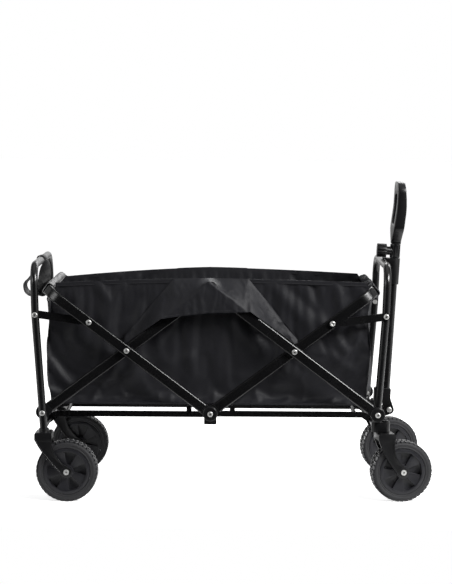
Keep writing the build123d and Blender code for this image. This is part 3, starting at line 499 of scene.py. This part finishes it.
# ---------------------------------------------------------------- painted frame and moulded parts
painted = [
    "rear_top_rail", "front_top_rail", "rear_lift_bar_right", "rear_lift_bar_left",
    "front_lift_bar_right", "front_lift_bar_left", "rear_end_frame", "front_end_frame",
    "rear_links", "front_links", "rear_base_rails", "front_base_rails",
    "handle_outer_tube", "handle_inner_tube",
]
moulded_edges = {
    "centre_crossbar": 0.001, "rear_rail_end_caps": 0.0012, "front_rail_end_caps": 0.0012,
    "rear_lift_end_caps": 0.0012, "front_lift_end_caps": 0.0012, "rear_fork_right": 0.0022,
    "rear_fork_left": 0.0022, "caster_fork_right": 0.0022, "caster_fork_left": 0.0022,
    "caster_block_right": 0.0015, "caster_block_left": 0.0015, "handle_foot": 0.002,
    "handle_collar": 0.0006, "handle_knob": 0.0015, "handle_clip": 0.0015, "handle_grip": 0.007,
}
wheel_edge = 0.0008


def painted_copy(node):
    """A painted tube or bar with its bends shaded smooth and its flats kept flat."""
    piece = round_shade(merged_copy(node, f"{node}_painted", powder_coat), 34)
    even = piece.modifiers.new("Flats", "WEIGHTED_NORMAL")
    even.keep_sharp = True
    stand_in(bake(piece), node)


for node in painted:
    painted_copy(node)
for node, width in moulded_edges.items():
    softened(node, moulded, width, segments=3)
for end, label in wheel_places:
    softened(f"{end}_wheel_{label}", wheel_plastic, wheel_edge, segments=2)


# ---------------------------------------------------------------- bolts, rivets and axles
def islands(mesh):
    """The separate pieces of a mesh, each as a list of its points."""
    work = bmesh.new()
    work.from_mesh(mesh)
    waiting = set(work.verts)
    groups = []
    while waiting:
        front = [waiting.pop()]
        group = []
        while front:
            vertex = front.pop()
            group.append(vertex.co.copy())
            for edge in vertex.link_edges:
                other = edge.other_vert(vertex)
                if other in waiting:
                    waiting.remove(other)
                    front.append(other)
        groups.append(group)
    work.free()
    return groups


def socket_cutters(name, mesh, axis):
    """Hexagonal prisms that cut a key socket into the outer end of every bolt of a mesh."""
    half_flats, depth, overshoot = 0.0021, 0.0022, 0.004
    radius = half_flats / cos(pi / 6)
    turn = axis.to_track_quat("Z", "Y").to_matrix()
    points, faces = [], []
    for group in islands(mesh):
        local = [turn.transposed() @ p for p in group]
        middle = [(min(p[k] for p in local) + max(p[k] for p in local)) / 2 for k in (0, 1)]
        top, bottom = max(p.z for p in local), min(p.z for p in local)
        outer = max(top, bottom, key=abs)
        inward = -1 if outer == top else 1
        start = len(points)
        for z in (outer - inward * overshoot, outer + inward * depth):
            for k in range(6):
                angle = pi * k / 3
                corner = Vector((middle[0] + radius * cos(angle), middle[1] + radius * sin(angle), z))
                points.append(turn @ corner)
        faces.append(tuple(range(start, start + 6)))
        faces.append(tuple(range(start + 11, start + 5, -1)))
        for k in range(6):
            ahead = (k + 1) % 6
            faces.append((start + k, start + ahead, start + 6 + ahead, start + 6 + k))
    return link_mesh(name, mesh_of(name, points, faces), socket_dark)


def hardware(node, axis=Vector((0, 1, 0))):
    """A node's bolts with key sockets in their heads."""
    piece = merged_copy(node, f"{node}_hardware", zinc)
    cutter = socket_cutters(f"{node}_sockets", piece.data, axis)
    cut = piece.modifiers.new("Sockets", "BOOLEAN")
    cut.operation = "DIFFERENCE"
    cut.object = cutter
    cut.material_mode = "TRANSFER"
    round_shade(bake(piece), 40)
    bpy.data.objects.remove(cutter)
    stand_in(piece, node)


for node in ("centre_bolts", "rear_rail_bolts", "front_rail_bolts", "rear_end_bolts", "front_end_bolts",
             "front_link_rivets", "top_joint_bolts"):
    hardware(node)
for label, _ in sides:
    hardware(f"rear_axle_{label}")
    hardware(f"caster_axle_{label}", Vector(joints[f"front_wheel_{label}_spin"]["axis"]))


# ---------------------------------------------------------------- tyres
lug_high = 0.0036
tyre_half = 0.023
bead_radius = 0.0672
ground_gap = 0.0005


def tyre_profile(radius):
    """A tyre's section, from one bead over the tread to the other, as (radius, across) points."""
    shoulder = 0.007
    # The flank: how far each point lies out from the bead, and in from the tyre's widest place.
    flank = [
        (0.0, 0.003), (0.0015, 0.0008), (0.004, 0.0002),
        (0.0052, 0.0011), (0.0066, 0.0011), (0.0078, 0.0002),
    ]
    arc = [
        (radius - shoulder + shoulder * sin(a), tyre_half - shoulder + shoulder * cos(a))
        for a in (radians(d) for d in range(10, 91, 16))
    ]
    upper = [(bead_radius + rise, tyre_half - inset) for rise, inset in flank] + arc
    return upper + [(r, -w) for r, w in reversed(upper)]


def turned(name, profile, steps):
    """A mesh turned about Z from an open profile of (radius, height) points."""
    points, faces = [], []
    count = len(profile)
    for step in range(steps):
        angle = 2 * pi * step / steps
        points += [(r * cos(angle), r * sin(angle), z) for r, z in profile]
    for step in range(steps):
        near, far = step * count, (step + 1) % steps * count
        faces += [(near + k, far + k, far + k + 1, near + k + 1) for k in range(count - 1)]
    return mesh_of(name, points, faces)


def tread_lug():
    """One shoulder block of the tread, with its long side across the tyre; it stays hidden."""
    long, wide, sunk, chamfer = 0.0125, 0.0078, 0.0012, 0.0006
    points = []
    for z, shrink in ((-sunk, 1.0), (lug_high - chamfer, 0.93), (lug_high, 0.78)):
        for x, y in ((-1, -1), (1, -1), (1, 1), (-1, 1)):
            points.append((x * wide / 2 * shrink, y * long / 2 * shrink, z))
    faces = [(0, 1, 2, 3), (8, 11, 10, 9)]
    for level in (0, 4):
        for k in range(4):
            ahead = (k + 1) % 4
            faces.append((level + k, level + ahead, level + 4 + ahead, level + 4 + k))
    lug = link_mesh("tread_lug", mesh_of("tread_lug", points, faces), tread_rubber)
    lug.hide_render = lug.hide_viewport = True
    return lug


LUG = tread_lug()


def tread_blocks(name, base):
    """Three rows of blocks round a tyre's tread, leaning to and fro."""
    count = 40
    shoulder_row = tyre_half - 0.0075
    points, turns = [], []
    for row, (across, lean) in enumerate(((shoulder_row, 0.35), (0.0, -0.5), (-shoulder_row, 0.35))):
        for k in range(count):
            angle = 2 * pi * (k + 0.5 * row) / count
            points.append((base * cos(angle), base * sin(angle), across))
            upright = Matrix.Rotation(angle, 3, "Z") @ Matrix.Rotation(pi / 2, 3, "Y")
            turns += (upright @ Matrix.Rotation(lean, 3, "Z")).to_euler()
    seeds = bpy.data.meshes.new(name)
    seeds.from_pydata(points, [], [])
    seeds.attributes.new("turn", "FLOAT_VECTOR", "POINT").data.foreach_set("vector", turns)
    return run_tree(link_mesh(name, seeds, tread_rubber), COPIES, Shape=LUG, Material=tread_rubber)


def tyre(node, hub, axis):
    """A tyre with rows of blocks round its tread."""
    base = hub.z - ground_gap - lug_high
    carcass = turned(f"{node}_carcass", tyre_profile(base), 96)
    blocks = tread_blocks(f"{node}_blocks", base)
    piece = link_mesh(f"{node}_treaded", carcass, rubber, tread_rubber)
    work = bmesh.new()
    work.from_mesh(blocks.data)
    for face in work.faces:
        face.material_index = 1
    work.from_mesh(carcass)
    work.to_mesh(carcass)
    work.free()
    bpy.data.objects.remove(blocks)
    carcass.transform(Matrix.Translation(hub) @ axis.to_track_quat("Z", "Y").to_matrix().to_4x4())
    round_shade(piece, 40)
    stand_in(piece, node)


for end, label in wheel_places:
    spin = joints[f"{end}_wheel_{label}_spin"]
    tyre(f"{end}_tyre_{label}", Vector(spin["pos_m"]), Vector(spin["axis"]))


# ---------------------------------------------------------------- cloth shapes
def smooth(value):
    """A smooth step from 0 to 1."""
    value = min(max(value, 0.0), 1.0)
    return value * value * (3 - 2 * value)


def bell(offset):
    """1 at no offset, falling to 0 on both sides."""
    return exp(-(offset**2))


def crumple(point, scale, seed):
    """Smooth noise from -1 to 1 at a place."""
    return noise.fractal(Vector(point) * scale + Vector((seed * 7.3, seed * 3.1, seed)), 0.9, 2.1, 3)


def creases(point, scale, seed):
    """Noise with sharp ridges, as in cloth that has been folded: 1 on a ridge and near 0 between."""
    ridge = 1 - abs(crumple(point, scale, seed)) * 2.2
    return max(ridge, 0.0) ** 1.5


def fold_line(x, z, start, stop, width, height):
    """Height of one long fold that runs between two places and fades at both."""
    overrun, fade_run = 0.15, 0.4
    run = (stop[0] - start[0], stop[1] - start[1])
    length = run[0] ** 2 + run[1] ** 2
    along = ((x - start[0]) * run[0] + (z - start[1]) * run[1]) / length
    off = ((x - start[0]) * run[1] - (z - start[1]) * run[0]) / sqrt(length)
    fade = smooth((along + overrun) / fade_run) * smooth((1 + overrun - along) / fade_run)
    return height * fade * bell(off / width)


def settle(piece, held, slack, frames):
    """Drapes a sheet that is a little larger than the frame that holds it."""
    group = piece.vertex_groups.new(name="held")
    group.add(held, 1.0, "REPLACE")
    drape = piece.modifiers.new("Drape", "CLOTH")
    cloth = drape.settings
    cloth.quality = 6
    cloth.mass = 0.2
    cloth.tension_stiffness = cloth.compression_stiffness = 22
    cloth.shear_stiffness = 12
    cloth.bending_stiffness = 0.6
    cloth.tension_damping = cloth.compression_damping = 12
    cloth.air_damping = 4
    cloth.vertex_group_mass = "held"
    cloth.shrink_min = -slack
    cloth.effector_weights.gravity = 1.0
    drape.point_cache.frame_start = 1
    drape.point_cache.frame_end = frames
    for step in range(1, frames + 1):
        scene.frame_set(step)
    bake(piece)
    scene.frame_set(1)


def limit_across(piece, axis, middle, inwards, outwards, sign):
    """Keeps a wall's folds between two distances of its plane, softly."""
    for vertex in piece.data.vertices:
        off = sign * (vertex.co[axis] - middle)
        room = outwards if off > 0 else inwards
        vertex.co[axis] = middle + sign * room * np.tanh(off / room)


def rig_cloth(piece):
    """The box's cloth rides on the box's body, with a mesh of its own."""
    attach(piece, "basket")
    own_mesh(piece)
    return piece


# ---------------------------------------------------------------- fabric box
# How far the hem drops by the rear and by the front, for each side.
rim_drop = {-1: (0.015, 0.009), 1: (0.030, 0.016)}
# Each end's distance from the middle, at shares of the walls' height.
end_profile = {
    -1: ((0.0, 0.462), (0.3, 0.473), (0.6, 0.470), (0.83, 0.462), (1.0, 0.468)),
    1: ((0.0, 0.449), (0.25, 0.458), (0.45, 0.462), (0.75, 0.451), (1.0, 0.466)),
}
# Long folds of the side walls: where each starts and stops in x and z, its half width and its height.
wall_folds = [
    ((-0.335, 0.635), (-0.285, 0.565), 0.012, 0.006), ((-0.245, 0.635), (-0.280, 0.570), 0.011, 0.006),
    ((-0.285, 0.575), (-0.300, 0.480), 0.014, 0.007), ((-0.200, 0.600), (-0.240, 0.520), 0.016, -0.006),
    ((0.285, 0.650), (0.330, 0.530), 0.012, -0.008), ((0.345, 0.650), (0.385, 0.550), 0.014, 0.005),
    ((0.165, 0.640), (0.290, 0.500), 0.016, 0.005), ((0.225, 0.620), (0.320, 0.530), 0.010, -0.004),
    ((-0.077, 0.535), (-0.066, 0.450), 0.006, 0.004), ((-0.055, 0.535), (-0.050, 0.460), 0.006, 0.004),
    ((-0.100, 0.530), (-0.160, 0.440), 0.008, 0.005), ((-0.120, 0.500), (-0.190, 0.430), 0.008, 0.004),
    ((0.058, 0.528), (0.150, 0.430), 0.014, 0.008), ((0.085, 0.535), (0.185, 0.445), 0.009, -0.006),
    ((-0.200, 0.410), (-0.285, 0.300), 0.013, 0.008), ((-0.150, 0.400), (-0.240, 0.300), 0.015, -0.007),
    ((-0.255, 0.400), (-0.330, 0.310), 0.012, 0.006), ((-0.430, 0.470), (-0.300, 0.420), 0.016, 0.006),
    ((-0.440, 0.420), (-0.340, 0.360), 0.014, -0.006), ((0.310, 0.500), (0.345, 0.415), 0.010, -0.008),
    ((0.350, 0.490), (0.400, 0.420), 0.014, 0.009), ((0.400, 0.520), (0.440, 0.450), 0.016, 0.008),
    ((0.330, 0.440), (0.420, 0.370), 0.013, 0.006), ((0.060, 0.360), (0.240, 0.330), 0.016, 0.007),
    ((0.090, 0.330), (0.280, 0.300), 0.012, -0.005), ((0.180, 0.390), (0.290, 0.320), 0.013, 0.006),
    ((0.220, 0.410), (0.300, 0.360), 0.010, -0.005), ((-0.040, 0.420), (-0.140, 0.380), 0.018, 0.006),
]


def rim_height(x, side):
    """Height of a side wall's hem: highest at the middle and lower towards the rear and the front."""
    rear, front = rim_drop[side]
    return wall_top - 0.001 - (front if x > 0 else rear) * min(abs(x) / rim_half, 1.0) ** 1.5


def wall_reach(end, up):
    """How far a wall's end lies from the middle, at a share of the wall's height."""
    shares, reaches = zip(*end_profile[end])
    return float(np.interp(up, shares, reaches))


def side_wall(label, side):
    """A side wall: a slack sheet held along its hems, with long folds and a sewn binding at the rim."""
    columns, rows = 104, 40
    length, height = 2 * wall_end, wall_top - wall_bottom
    corner_rise, foot_wave = 0.03, 0.0025
    broad, sharp, inset = 0.006, 0.003, 0.007

    def place(u, v):
        x = (2 * u - 1) * wall_reach(1 if u > 0.5 else -1, v)
        top = rim_height(x, side) if abs(x) < rim_half else notch_top + corner_rise
        foot = wall_bottom + foot_wave + foot_wave * crumple((x, 0, 0), 8, 41 + side)
        z = foot + v * (top - foot)
        lean = 1 if x * (z - wall_bottom - 0.15) > 0 else -1
        along = (x * 0.8 + lean * z * 0.6, 0, lean * x * 0.25 - z * 0.3)
        fold = broad * crumple(along, 9, 3 + side) + sharp * creases((x, 0, z), 7, 31 + side) - inset
        return Vector((x, side * (wall_y + fold * min(6 * v, 5 * (1 - v), 1)), z))

    piece = cloth_grid(f"side_cloth_{label}", columns, rows, place, (length, height))
    wide = columns + 1
    foot_row = list(range(wide))
    hem_rows = list(range((rows - 1) * wide, (rows + 1) * wide))
    end_columns = [j * wide + i for j in range(0, rows + 1, 5) for i in (0, columns)]
    settle(piece, hem_rows + foot_row + end_columns, slack=0.04, frames=36)
    for vertex in piece.data.vertices:
        x, z = -side * vertex.co.x, vertex.co.z
        from_edge = min(5 * (z - wall_bottom), 5 * (wall_top - z), 0.1) * 10
        vertex.co.y += side * from_edge * sum(fold_line(x, z, *line) for line in wall_folds)
    limit_across(piece, 1, side * wall_y, inwards=0.028, outwards=0.0105, sign=side)
    thicken(piece, cloth_thick, subdivide=1)
    rig_cloth(piece)
    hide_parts(f"side_wall_{label}")
    rim_binding(label, side)


def rim_binding(label, side):
    """The double hem along the top of a side wall, and its stitches."""
    high, proud, wave = 0.012, 0.0012, 0.0004

    def place(u, v):
        x = (2 * u - 1) * rim_half
        out = wall_y + proud + wave * crumple((x, 0, v), 14, side)
        return Vector((x, side * out, rim_height(x, side) - high * v))

    hem = cloth_grid(f"rim_hem_{label}", 90, 3, place, (2 * rim_half, high))
    thicken(hem, 0.0014)
    line = [
        Vector((x, side * (wall_y + 0.0021), rim_height(x, side) - high + 0.0025))
        for x in np.linspace(-rim_half, rim_half, 80)
    ]
    return [rig_cloth(hem), stitch_row(f"rim_stitches_{label}", line)]


def end_wall(name, end):
    """An end wall: a sheet that bulges a little outwards and tucks in under the rail's sleeve."""
    columns, rows = 44, 36
    belly, uneven = 0.009, 0.003
    inside = wall_y - 0.003
    sleeve_low, sleeve_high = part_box(f"{name}_rail_sleeve")
    under_rail = abs(sleeve_low.x + sleeve_high.x) / 2 + 0.003
    height = sleeve_low.z + 0.006 - wall_bottom

    def place(u, v):
        y = (2 * u - 1) * inside
        z = wall_bottom + 0.002 + v * height
        bulge = belly * sin(pi * u) ** 0.6 * sin(pi * v) ** 0.7
        bulge += uneven * crumple((1, y, z), 12, 5 + end)
        reach = wall_reach(end, v * height / (wall_top - wall_bottom)) - 0.001
        tuck = (under_rail - reach) * smooth((v - 0.86) / 0.14) * smooth(min(u, 1 - u) / 0.07)
        return Vector((end * (reach + bulge + tuck), y, z))

    piece = cloth_grid(f"end_cloth_{name}", columns, rows, place, (2 * inside, height))
    wide = columns + 1
    edge = [
        j * wide + i for j in range(rows + 1) for i in range(wide)
        if i in (0, columns) or j in (0, rows)
    ]
    settle(piece, edge, slack=0.03, frames=30)
    plane = end * (wall_reach(end, 0.4) - 0.003)
    limit_across(piece, 0, plane, inwards=0.024, outwards=0.016, sign=end)
    thicken(piece, cloth_thick, subdivide=1)
    rig_cloth(piece)
    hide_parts(f"end_wall_{name}")


def floor_board():
    """The box's floor: a covered board in four hinged panels, out to the walls."""
    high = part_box("floor_panel")[1]
    seams = (-0.5, 0.0, 0.5)
    groove_deep, groove_wide = 0.0045, 0.012
    rolled, edge_drop = 0.96, 0.003

    def height(x, y):
        u, w = x / high.x, abs(y / high.y)
        groove = sum(groove_deep * bell((u - seam) / groove_wide) for seam in seams)
        groove *= smooth((rolled - w) / 0.05)
        drop = edge_drop * max(max(abs(u), w) - rolled, 0) / 0.04
        return high.z - groove - drop + 0.0006 * crumple((x, y, 0), 20, 2)

    def place(u, v):
        x = -wall_reach(-1, 0) + (wall_reach(-1, 0) + wall_reach(1, 0)) * u
        y = wall_y * (2 * v - 1)
        return Vector((x, y, height(x, y)))

    piece = cloth_grid("floor_board", 96, 24, place, (2 * high.x, 2 * high.y))
    thicken(piece, 0.006, offset=-1, crisp=50)
    rig_cloth(piece)
    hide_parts("floor_panel")


for label, side in sides:
    side_wall(label, side)
for name, end in ends:
    end_wall(name, end)
floor_board()


# ---------------------------------------------------------------- hoods over the top joints
hood_half = 0.108
hood_tip = 0.25
hood_tip_slope = 1.19
hood_hem = ((-0.140, 0.5315), (-0.080, 0.541), (-0.007, 0.549), (0.060, 0.551), (0.1135, 0.553))
hood_apex = (-0.007, 0.643)
hood_ridge_slope = (0.881, 0.805)
hood_y = 0.2533
bar_y = 0.208


def hood_top(x, side):
    """Upper edge of a hood: along the rim, then down to its tips."""
    out = max(abs(x) - hood_half, 0)
    if out == 0:
        return rim_height(x, side) + 0.0008
    return rim_height(hood_half, side) - hood_tip_slope * out


def hood_foot(x):
    """Lower edge of a hood: a hem across the bars, then along their upper edges."""
    if hood_hem[0][0] < x < hood_hem[-1][0]:
        return float(np.interp(x, *zip(*hood_hem)))
    return top_pivot.z - bar_slope * abs(x) + bar_edge_rise + 0.0012


def hood(label, side):
    """The flap that covers a top joint: a roof over two ridges, drawn down on to the bars beside it."""
    seam_y = wall_y + 0.003
    broad, sharp, inset = 0.003, 0.003, 0.002

    def place(u, v):
        x = (2 * u - 1) * hood_tip
        top, foot = hood_top(x, side), hood_foot(x)
        z = top + (foot - top) * v
        away = x - hood_apex[0]
        ridge = hood_apex[1] - abs(away) * hood_ridge_slope[away > 0]
        past_hem = max(hood_hem[0][0] - x, x - hood_hem[-1][0])
        over = hood_y + (bar_y - hood_y) * smooth(past_hem / 0.1)
        low_edge = max(ridge, foot) if past_hem < 0 else foot
        share = (top - z) / max(top - low_edge, 0.0035)
        rise = smooth(share) * 0.35 + min(share, 1.0) * 0.65
        y = seam_y + (over - seam_y) * rise
        slope_fold = crumple((x * 1.7 + z, 0, z * 1.1), 14, 11 + side)
        fold = broad * slope_fold + sharp * creases((x * 1.2, 0, z), 16, 17 + side) - inset
        hanging = 0.0022 * creases((x * 2.2, 0, z * 0.5), 17, 23 + side) + 0.0012 * abs(slope_fold)
        y += fold * min(v * 5, 1) * (1 - 0.5 * v) if share < 1 else hanging * min((share - 1) * 4, 1)
        return Vector((x, side * y, z))

    piece = cloth_grid(f"hood_cloth_{label}", 136, 32, place, (2 * hood_tip, 0.11))
    thicken(piece, 0.001)
    rig_cloth(piece)
    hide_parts(f"hood_{label}")
    line = [
        Vector((x, side * (hood_y + 0.0012), hood_foot(x) + 0.006))
        for x in np.linspace(-0.130, 0.104, 40)
    ]
    stitches = stitch_row(f"hood_stitches_{label}", line)


for label, side in sides:
    hood(label, side)


# ---------------------------------------------------------------- sleeves and strap
def rounded_ring(half_wide, half_high, corner):
    """Points round a rounded rectangle, anticlockwise."""
    ring, steps = [], 5
    for quarter, (sx, sy) in enumerate(((1, 1), (-1, 1), (-1, -1), (1, -1))):
        for step in range(steps + 1):
            angle = pi / 2 * (quarter + step / steps)
            ring.append((sx * (half_wide - corner) + corner * cos(angle),
                         sy * (half_high - corner) + corner * sin(angle)))
    return ring


def rail_sleeve(name, end, cloth, gather):
    """The cloth wrapped round a top rail's cross portion, gathered in small creases."""
    low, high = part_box(f"{name}_rail_sleeve")
    middle = (low + high) / 2
    along_rail = Vector((end * cos(bar_angle), 0, sin(bar_angle)))
    up = Vector((-end * sin(bar_angle), 0, cos(bar_angle)))
    ring = rounded_ring(half_wide=0.0102, half_high=0.0182, corner=0.0075)
    length = high.y - low.y + 0.02
    steps, hem, hem_draw = 110, 0.012, 0.1
    points, faces = [], []
    for k in range(steps + 1):
        y = -length / 2 + length * k / steps
        tight = 1 - hem_draw * smooth((abs(y) - length / 2 + hem) / hem)
        for a, b in ring:
            swell = 1 + gather * (0.3 + crumple((a * 0.6, y * 1.4, b * 0.5), 60, 21 + end))
            off = along_rail * a * swell * tight + up * b * swell * tight
            points.append(middle + off + Vector((0, y, 0)))
    count = len(ring)
    for k in range(steps):
        for r in range(count):
            a, b = k * count + r, k * count + (r + 1) % count
            faces.append((a, b, b + count, a + count))
    mesh = mesh_of(f"{name}_sleeve", points, faces)
    layer = mesh.uv_layers.new(name="cloth")
    for loop in mesh.loops:
        co = mesh.vertices[loop.vertex_index].co
        layer.data[loop.index].uv = (co.y, (co - middle).dot(up) + (co - middle).dot(along_rail))
    piece = thicken(link_mesh(f"{name}_sleeve_cloth", mesh, cloth), 0.001, offset=-1, crisp=50)
    stand_in(piece, f"{name}_rail_sleeve")


rail_sleeve("rear", -1, coated, gather=0.16)
rail_sleeve("front", 1, nylon, gather=0.3)


def ribbon(name, route, width, thick, twists):
    """A closed strap of webbing along a route of points, turned by a twist at each of them."""
    count, across, crease = len(route), 10, 0.0013
    points, faces = [], []
    for k, point in enumerate(route):
        ahead = (route[(k + 1) % count] - route[k - 1]).normalized()
        broad = Vector((sin(twists[k]), cos(twists[k]), 0))
        broad = (broad - ahead * broad.dot(ahead)).normalized()
        out = broad.cross(ahead)
        for face in (1, -1):
            for j in range(across + 1):
                y = width * (j / across - 0.5)
                edge = sqrt(max(1 - (abs(2 * j / across - 1)) ** 8, 0.15))
                push = face * thick / 2 * edge + crease * crumple((point.x, y, point.z), 70, 1)
                points.append(point + broad * y * face + out * push)
    ring = 2 * (across + 1)
    for k in range(count):
        here, there = k * ring, (k + 1) % count * ring
        for j in range(ring):
            beside = (j + 1) % ring
            faces.append((here + j, here + beside, there + beside, there + j))
    mesh = mesh_of(name, points, faces)
    layer = mesh.uv_layers.new(name="cloth")
    spans = [(route[(k + 1) % count] - route[k]).length for k in range(count)]
    for loop in mesh.loops:
        co = mesh.vertices[loop.vertex_index].co
        nearest = min(range(count), key=lambda k: (route[k].x - co.x) ** 2 + (route[k].z - co.z) ** 2)
        layer.data[loop.index].uv = (sum(spans[:nearest]), co.y)
    return round_shade(link_mesh(name, mesh, webbing), 50)


def spline_route(corners):
    """A closed smooth route through corner points, by Catmull-Rom spans."""
    route = []
    count, steps = len(corners), 9
    for k in range(count):
        p0, p1, p2, p3 = (corners[(k + j) % count] for j in (-1, 0, 1, 2))
        for step in range(steps):
            t = step / steps
            route.append(0.5 * (2 * p1 + (p2 - p0) * t + (2 * p0 - 5 * p1 + 4 * p2 - p3) * t * t
                                + (3 * p1 - p0 - 3 * p2 + p3) * t**3))
    return route


def carry_strap():
    """The webbing loop that hangs from the rear frame's top tube."""
    wrap = 0.0128
    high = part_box("rear_carry_strap")[1]
    tube = Vector((high.x - 0.0143, 0, high.z - 0.0015 - wrap))
    # Each stop of the loop: x and z from the tube's middle, and how far the strap is twisted there.
    stops = [
        (wrap, -0.012, 0.5), (wrap, 0.0, 0.1), (0.0100, 0.0095, 0.0), (0.0, wrap, 0.0),
        (-0.0100, 0.0095, 0.0), (-wrap, 0.0, 0.0), (-0.0150, -0.022, 0.1), (-0.0270, -0.046, 0.2),
        (-0.0460, -0.067, 0.2), (-0.0490, -0.084, 0.2), (-0.0380, -0.101, 0.4), (-0.0180, -0.106, 0.75),
        (-0.0010, -0.098, 1.0), (0.0050, -0.075, 1.1), (0.0100, -0.040, 1.0),
    ]
    route = spline_route([tube + Vector((x, 0, z)) for x, z, _ in stops])
    twists = [p.x for p in spline_route([Vector((twist, 0, 0)) for _, _, twist in stops])]
    strap = ribbon("carry_strap_webbing", route, 0.040, 0.0028, twists)
    stand_in(strap, "rear_carry_strap")


carry_strap()


# ---------------------------------------------------------------- stage, light and camera
def plain_view(tree):
    """1 for what the camera sees straight or through a clear part, and 0 for all other light."""
    rays = tree.nodes.new("ShaderNodeLightPath")
    straight, through = rays.outputs["Is Camera Ray"], rays.outputs["Is Transmission Ray"]
    return math_node(tree, "MAXIMUM", straight, through)


def stage_floor():
    """A pale sweep under and behind the cart that keeps its soft shadow and looks white."""
    front, back, half = -0.6, 40.0, 30.0
    albedo, glow = 0.95, 0.64
    corners = [(-half, front, 0), (half, front, 0), (half, back, 0), (-half, back, 0)]
    mesh = mesh_of("studio_floor", corners, [(0, 1, 2, 3)])
    material = bpy.data.materials.new("studio_floor")
    material.use_nodes = True
    tree = material.node_tree
    surface = tree.nodes["Principled BSDF"]
    surface.inputs["Base Color"].default_value = (albedo, albedo, albedo, 1)
    surface.inputs["Roughness"].default_value = 0.9
    surface.inputs["Specular IOR Level"].default_value = 0.0
    surface.inputs["Emission Color"].default_value = (1, 1, 1, 1)
    seen = math_node(tree, "MULTIPLY", plain_view(tree), glow)
    tree.links.new(seen, surface.inputs["Emission Strength"])
    link_mesh("studio_floor", mesh, material)


def studio_world():
    """White behind, above and beside the cart and a dark room in front; the camera sees white."""
    dark, dark_end, white_start = (0.018, 0.018, 0.02, 1), 0.62, 0.97
    world = bpy.data.worlds.new("studio")
    world.use_nodes = True
    scene.world = world
    tree = world.node_tree
    background = tree.nodes["Background"]
    where = tree.nodes.new("ShaderNodeTexCoord")
    split = tree.nodes.new("ShaderNodeSeparateXYZ")
    tree.links.new(where.outputs["Generated"], split.inputs[0])
    beside = math_node(tree, "MULTIPLY", math_node(tree, "ABSOLUTE", split.outputs["X"]), 0.98)
    above = math_node(tree, "MULTIPLY", split.outputs["Z"], 0.9)
    nearest = math_node(tree, "MAXIMUM", math_node(tree, "MAXIMUM", beside, above), split.outputs["Y"])
    ramp = tree.nodes.new("ShaderNodeValToRGB")
    stops = ramp.color_ramp.elements
    stops[0].position, stops[0].color = dark_end, dark
    stops[1].position, stops[1].color = white_start, (1, 1, 1, 1)
    tree.links.new(nearest, ramp.inputs[0])
    colour = mix_colours(tree, ramp.outputs[0], (1, 1, 1), plain_view(tree))
    tree.links.new(colour, background.inputs["Color"])
    background.inputs["Strength"].default_value = 1.0


def soft_box(name, place, aim, size, power):
    """A large rectangular lamp aimed at a point."""
    lamp = bpy.data.lights.new(name, "AREA")
    lamp.shape = "RECTANGLE"
    lamp.size, lamp.size_y = size
    lamp.energy = power
    holder = bpy.data.objects.new(name, lamp)
    scene.collection.objects.link(holder)
    holder.location = place
    holder.rotation_euler = (Vector(aim) - Vector(place)).to_track_quat("-Z", "Y").to_euler()


def studio_camera():
    """A long lens a little above the cart, level with its middle."""
    lens = bpy.data.cameras.new("camera")
    lens.lens = 118.2
    lens.sensor_width = 36.0
    lens.clip_end = 100
    camera = bpy.data.objects.new("camera", lens)
    scene.collection.objects.link(camera)
    pitch, yaw, roll = radians(5.334), radians(-0.118), radians(-0.4)
    camera.location = (0.0544, -5.7077, 1.1194)
    aim = Matrix.Rotation(-yaw, 4, "Z") @ Matrix.Rotation(pi / 2 - pitch, 4, "X")
    camera.rotation_euler = (aim @ Matrix.Rotation(-roll, 4, "Z")).to_euler()
    scene.camera = camera


cart_middle = (0, 0, 0.4)
stage_floor()
studio_world()
soft_box("key_light", (2.5, -2.1, 2.6), cart_middle, size=(1.6, 1.2), power=215)
soft_box("fill_light", (-3.0, -2.6, 1.6), cart_middle, size=(1.6, 1.2), power=30)
soft_box("rim_light", (1.2, 2.6, 2.4), cart_middle, size=(2.6, 1.2), power=45)
studio_camera()
scene.view_settings.view_transform = "Standard"
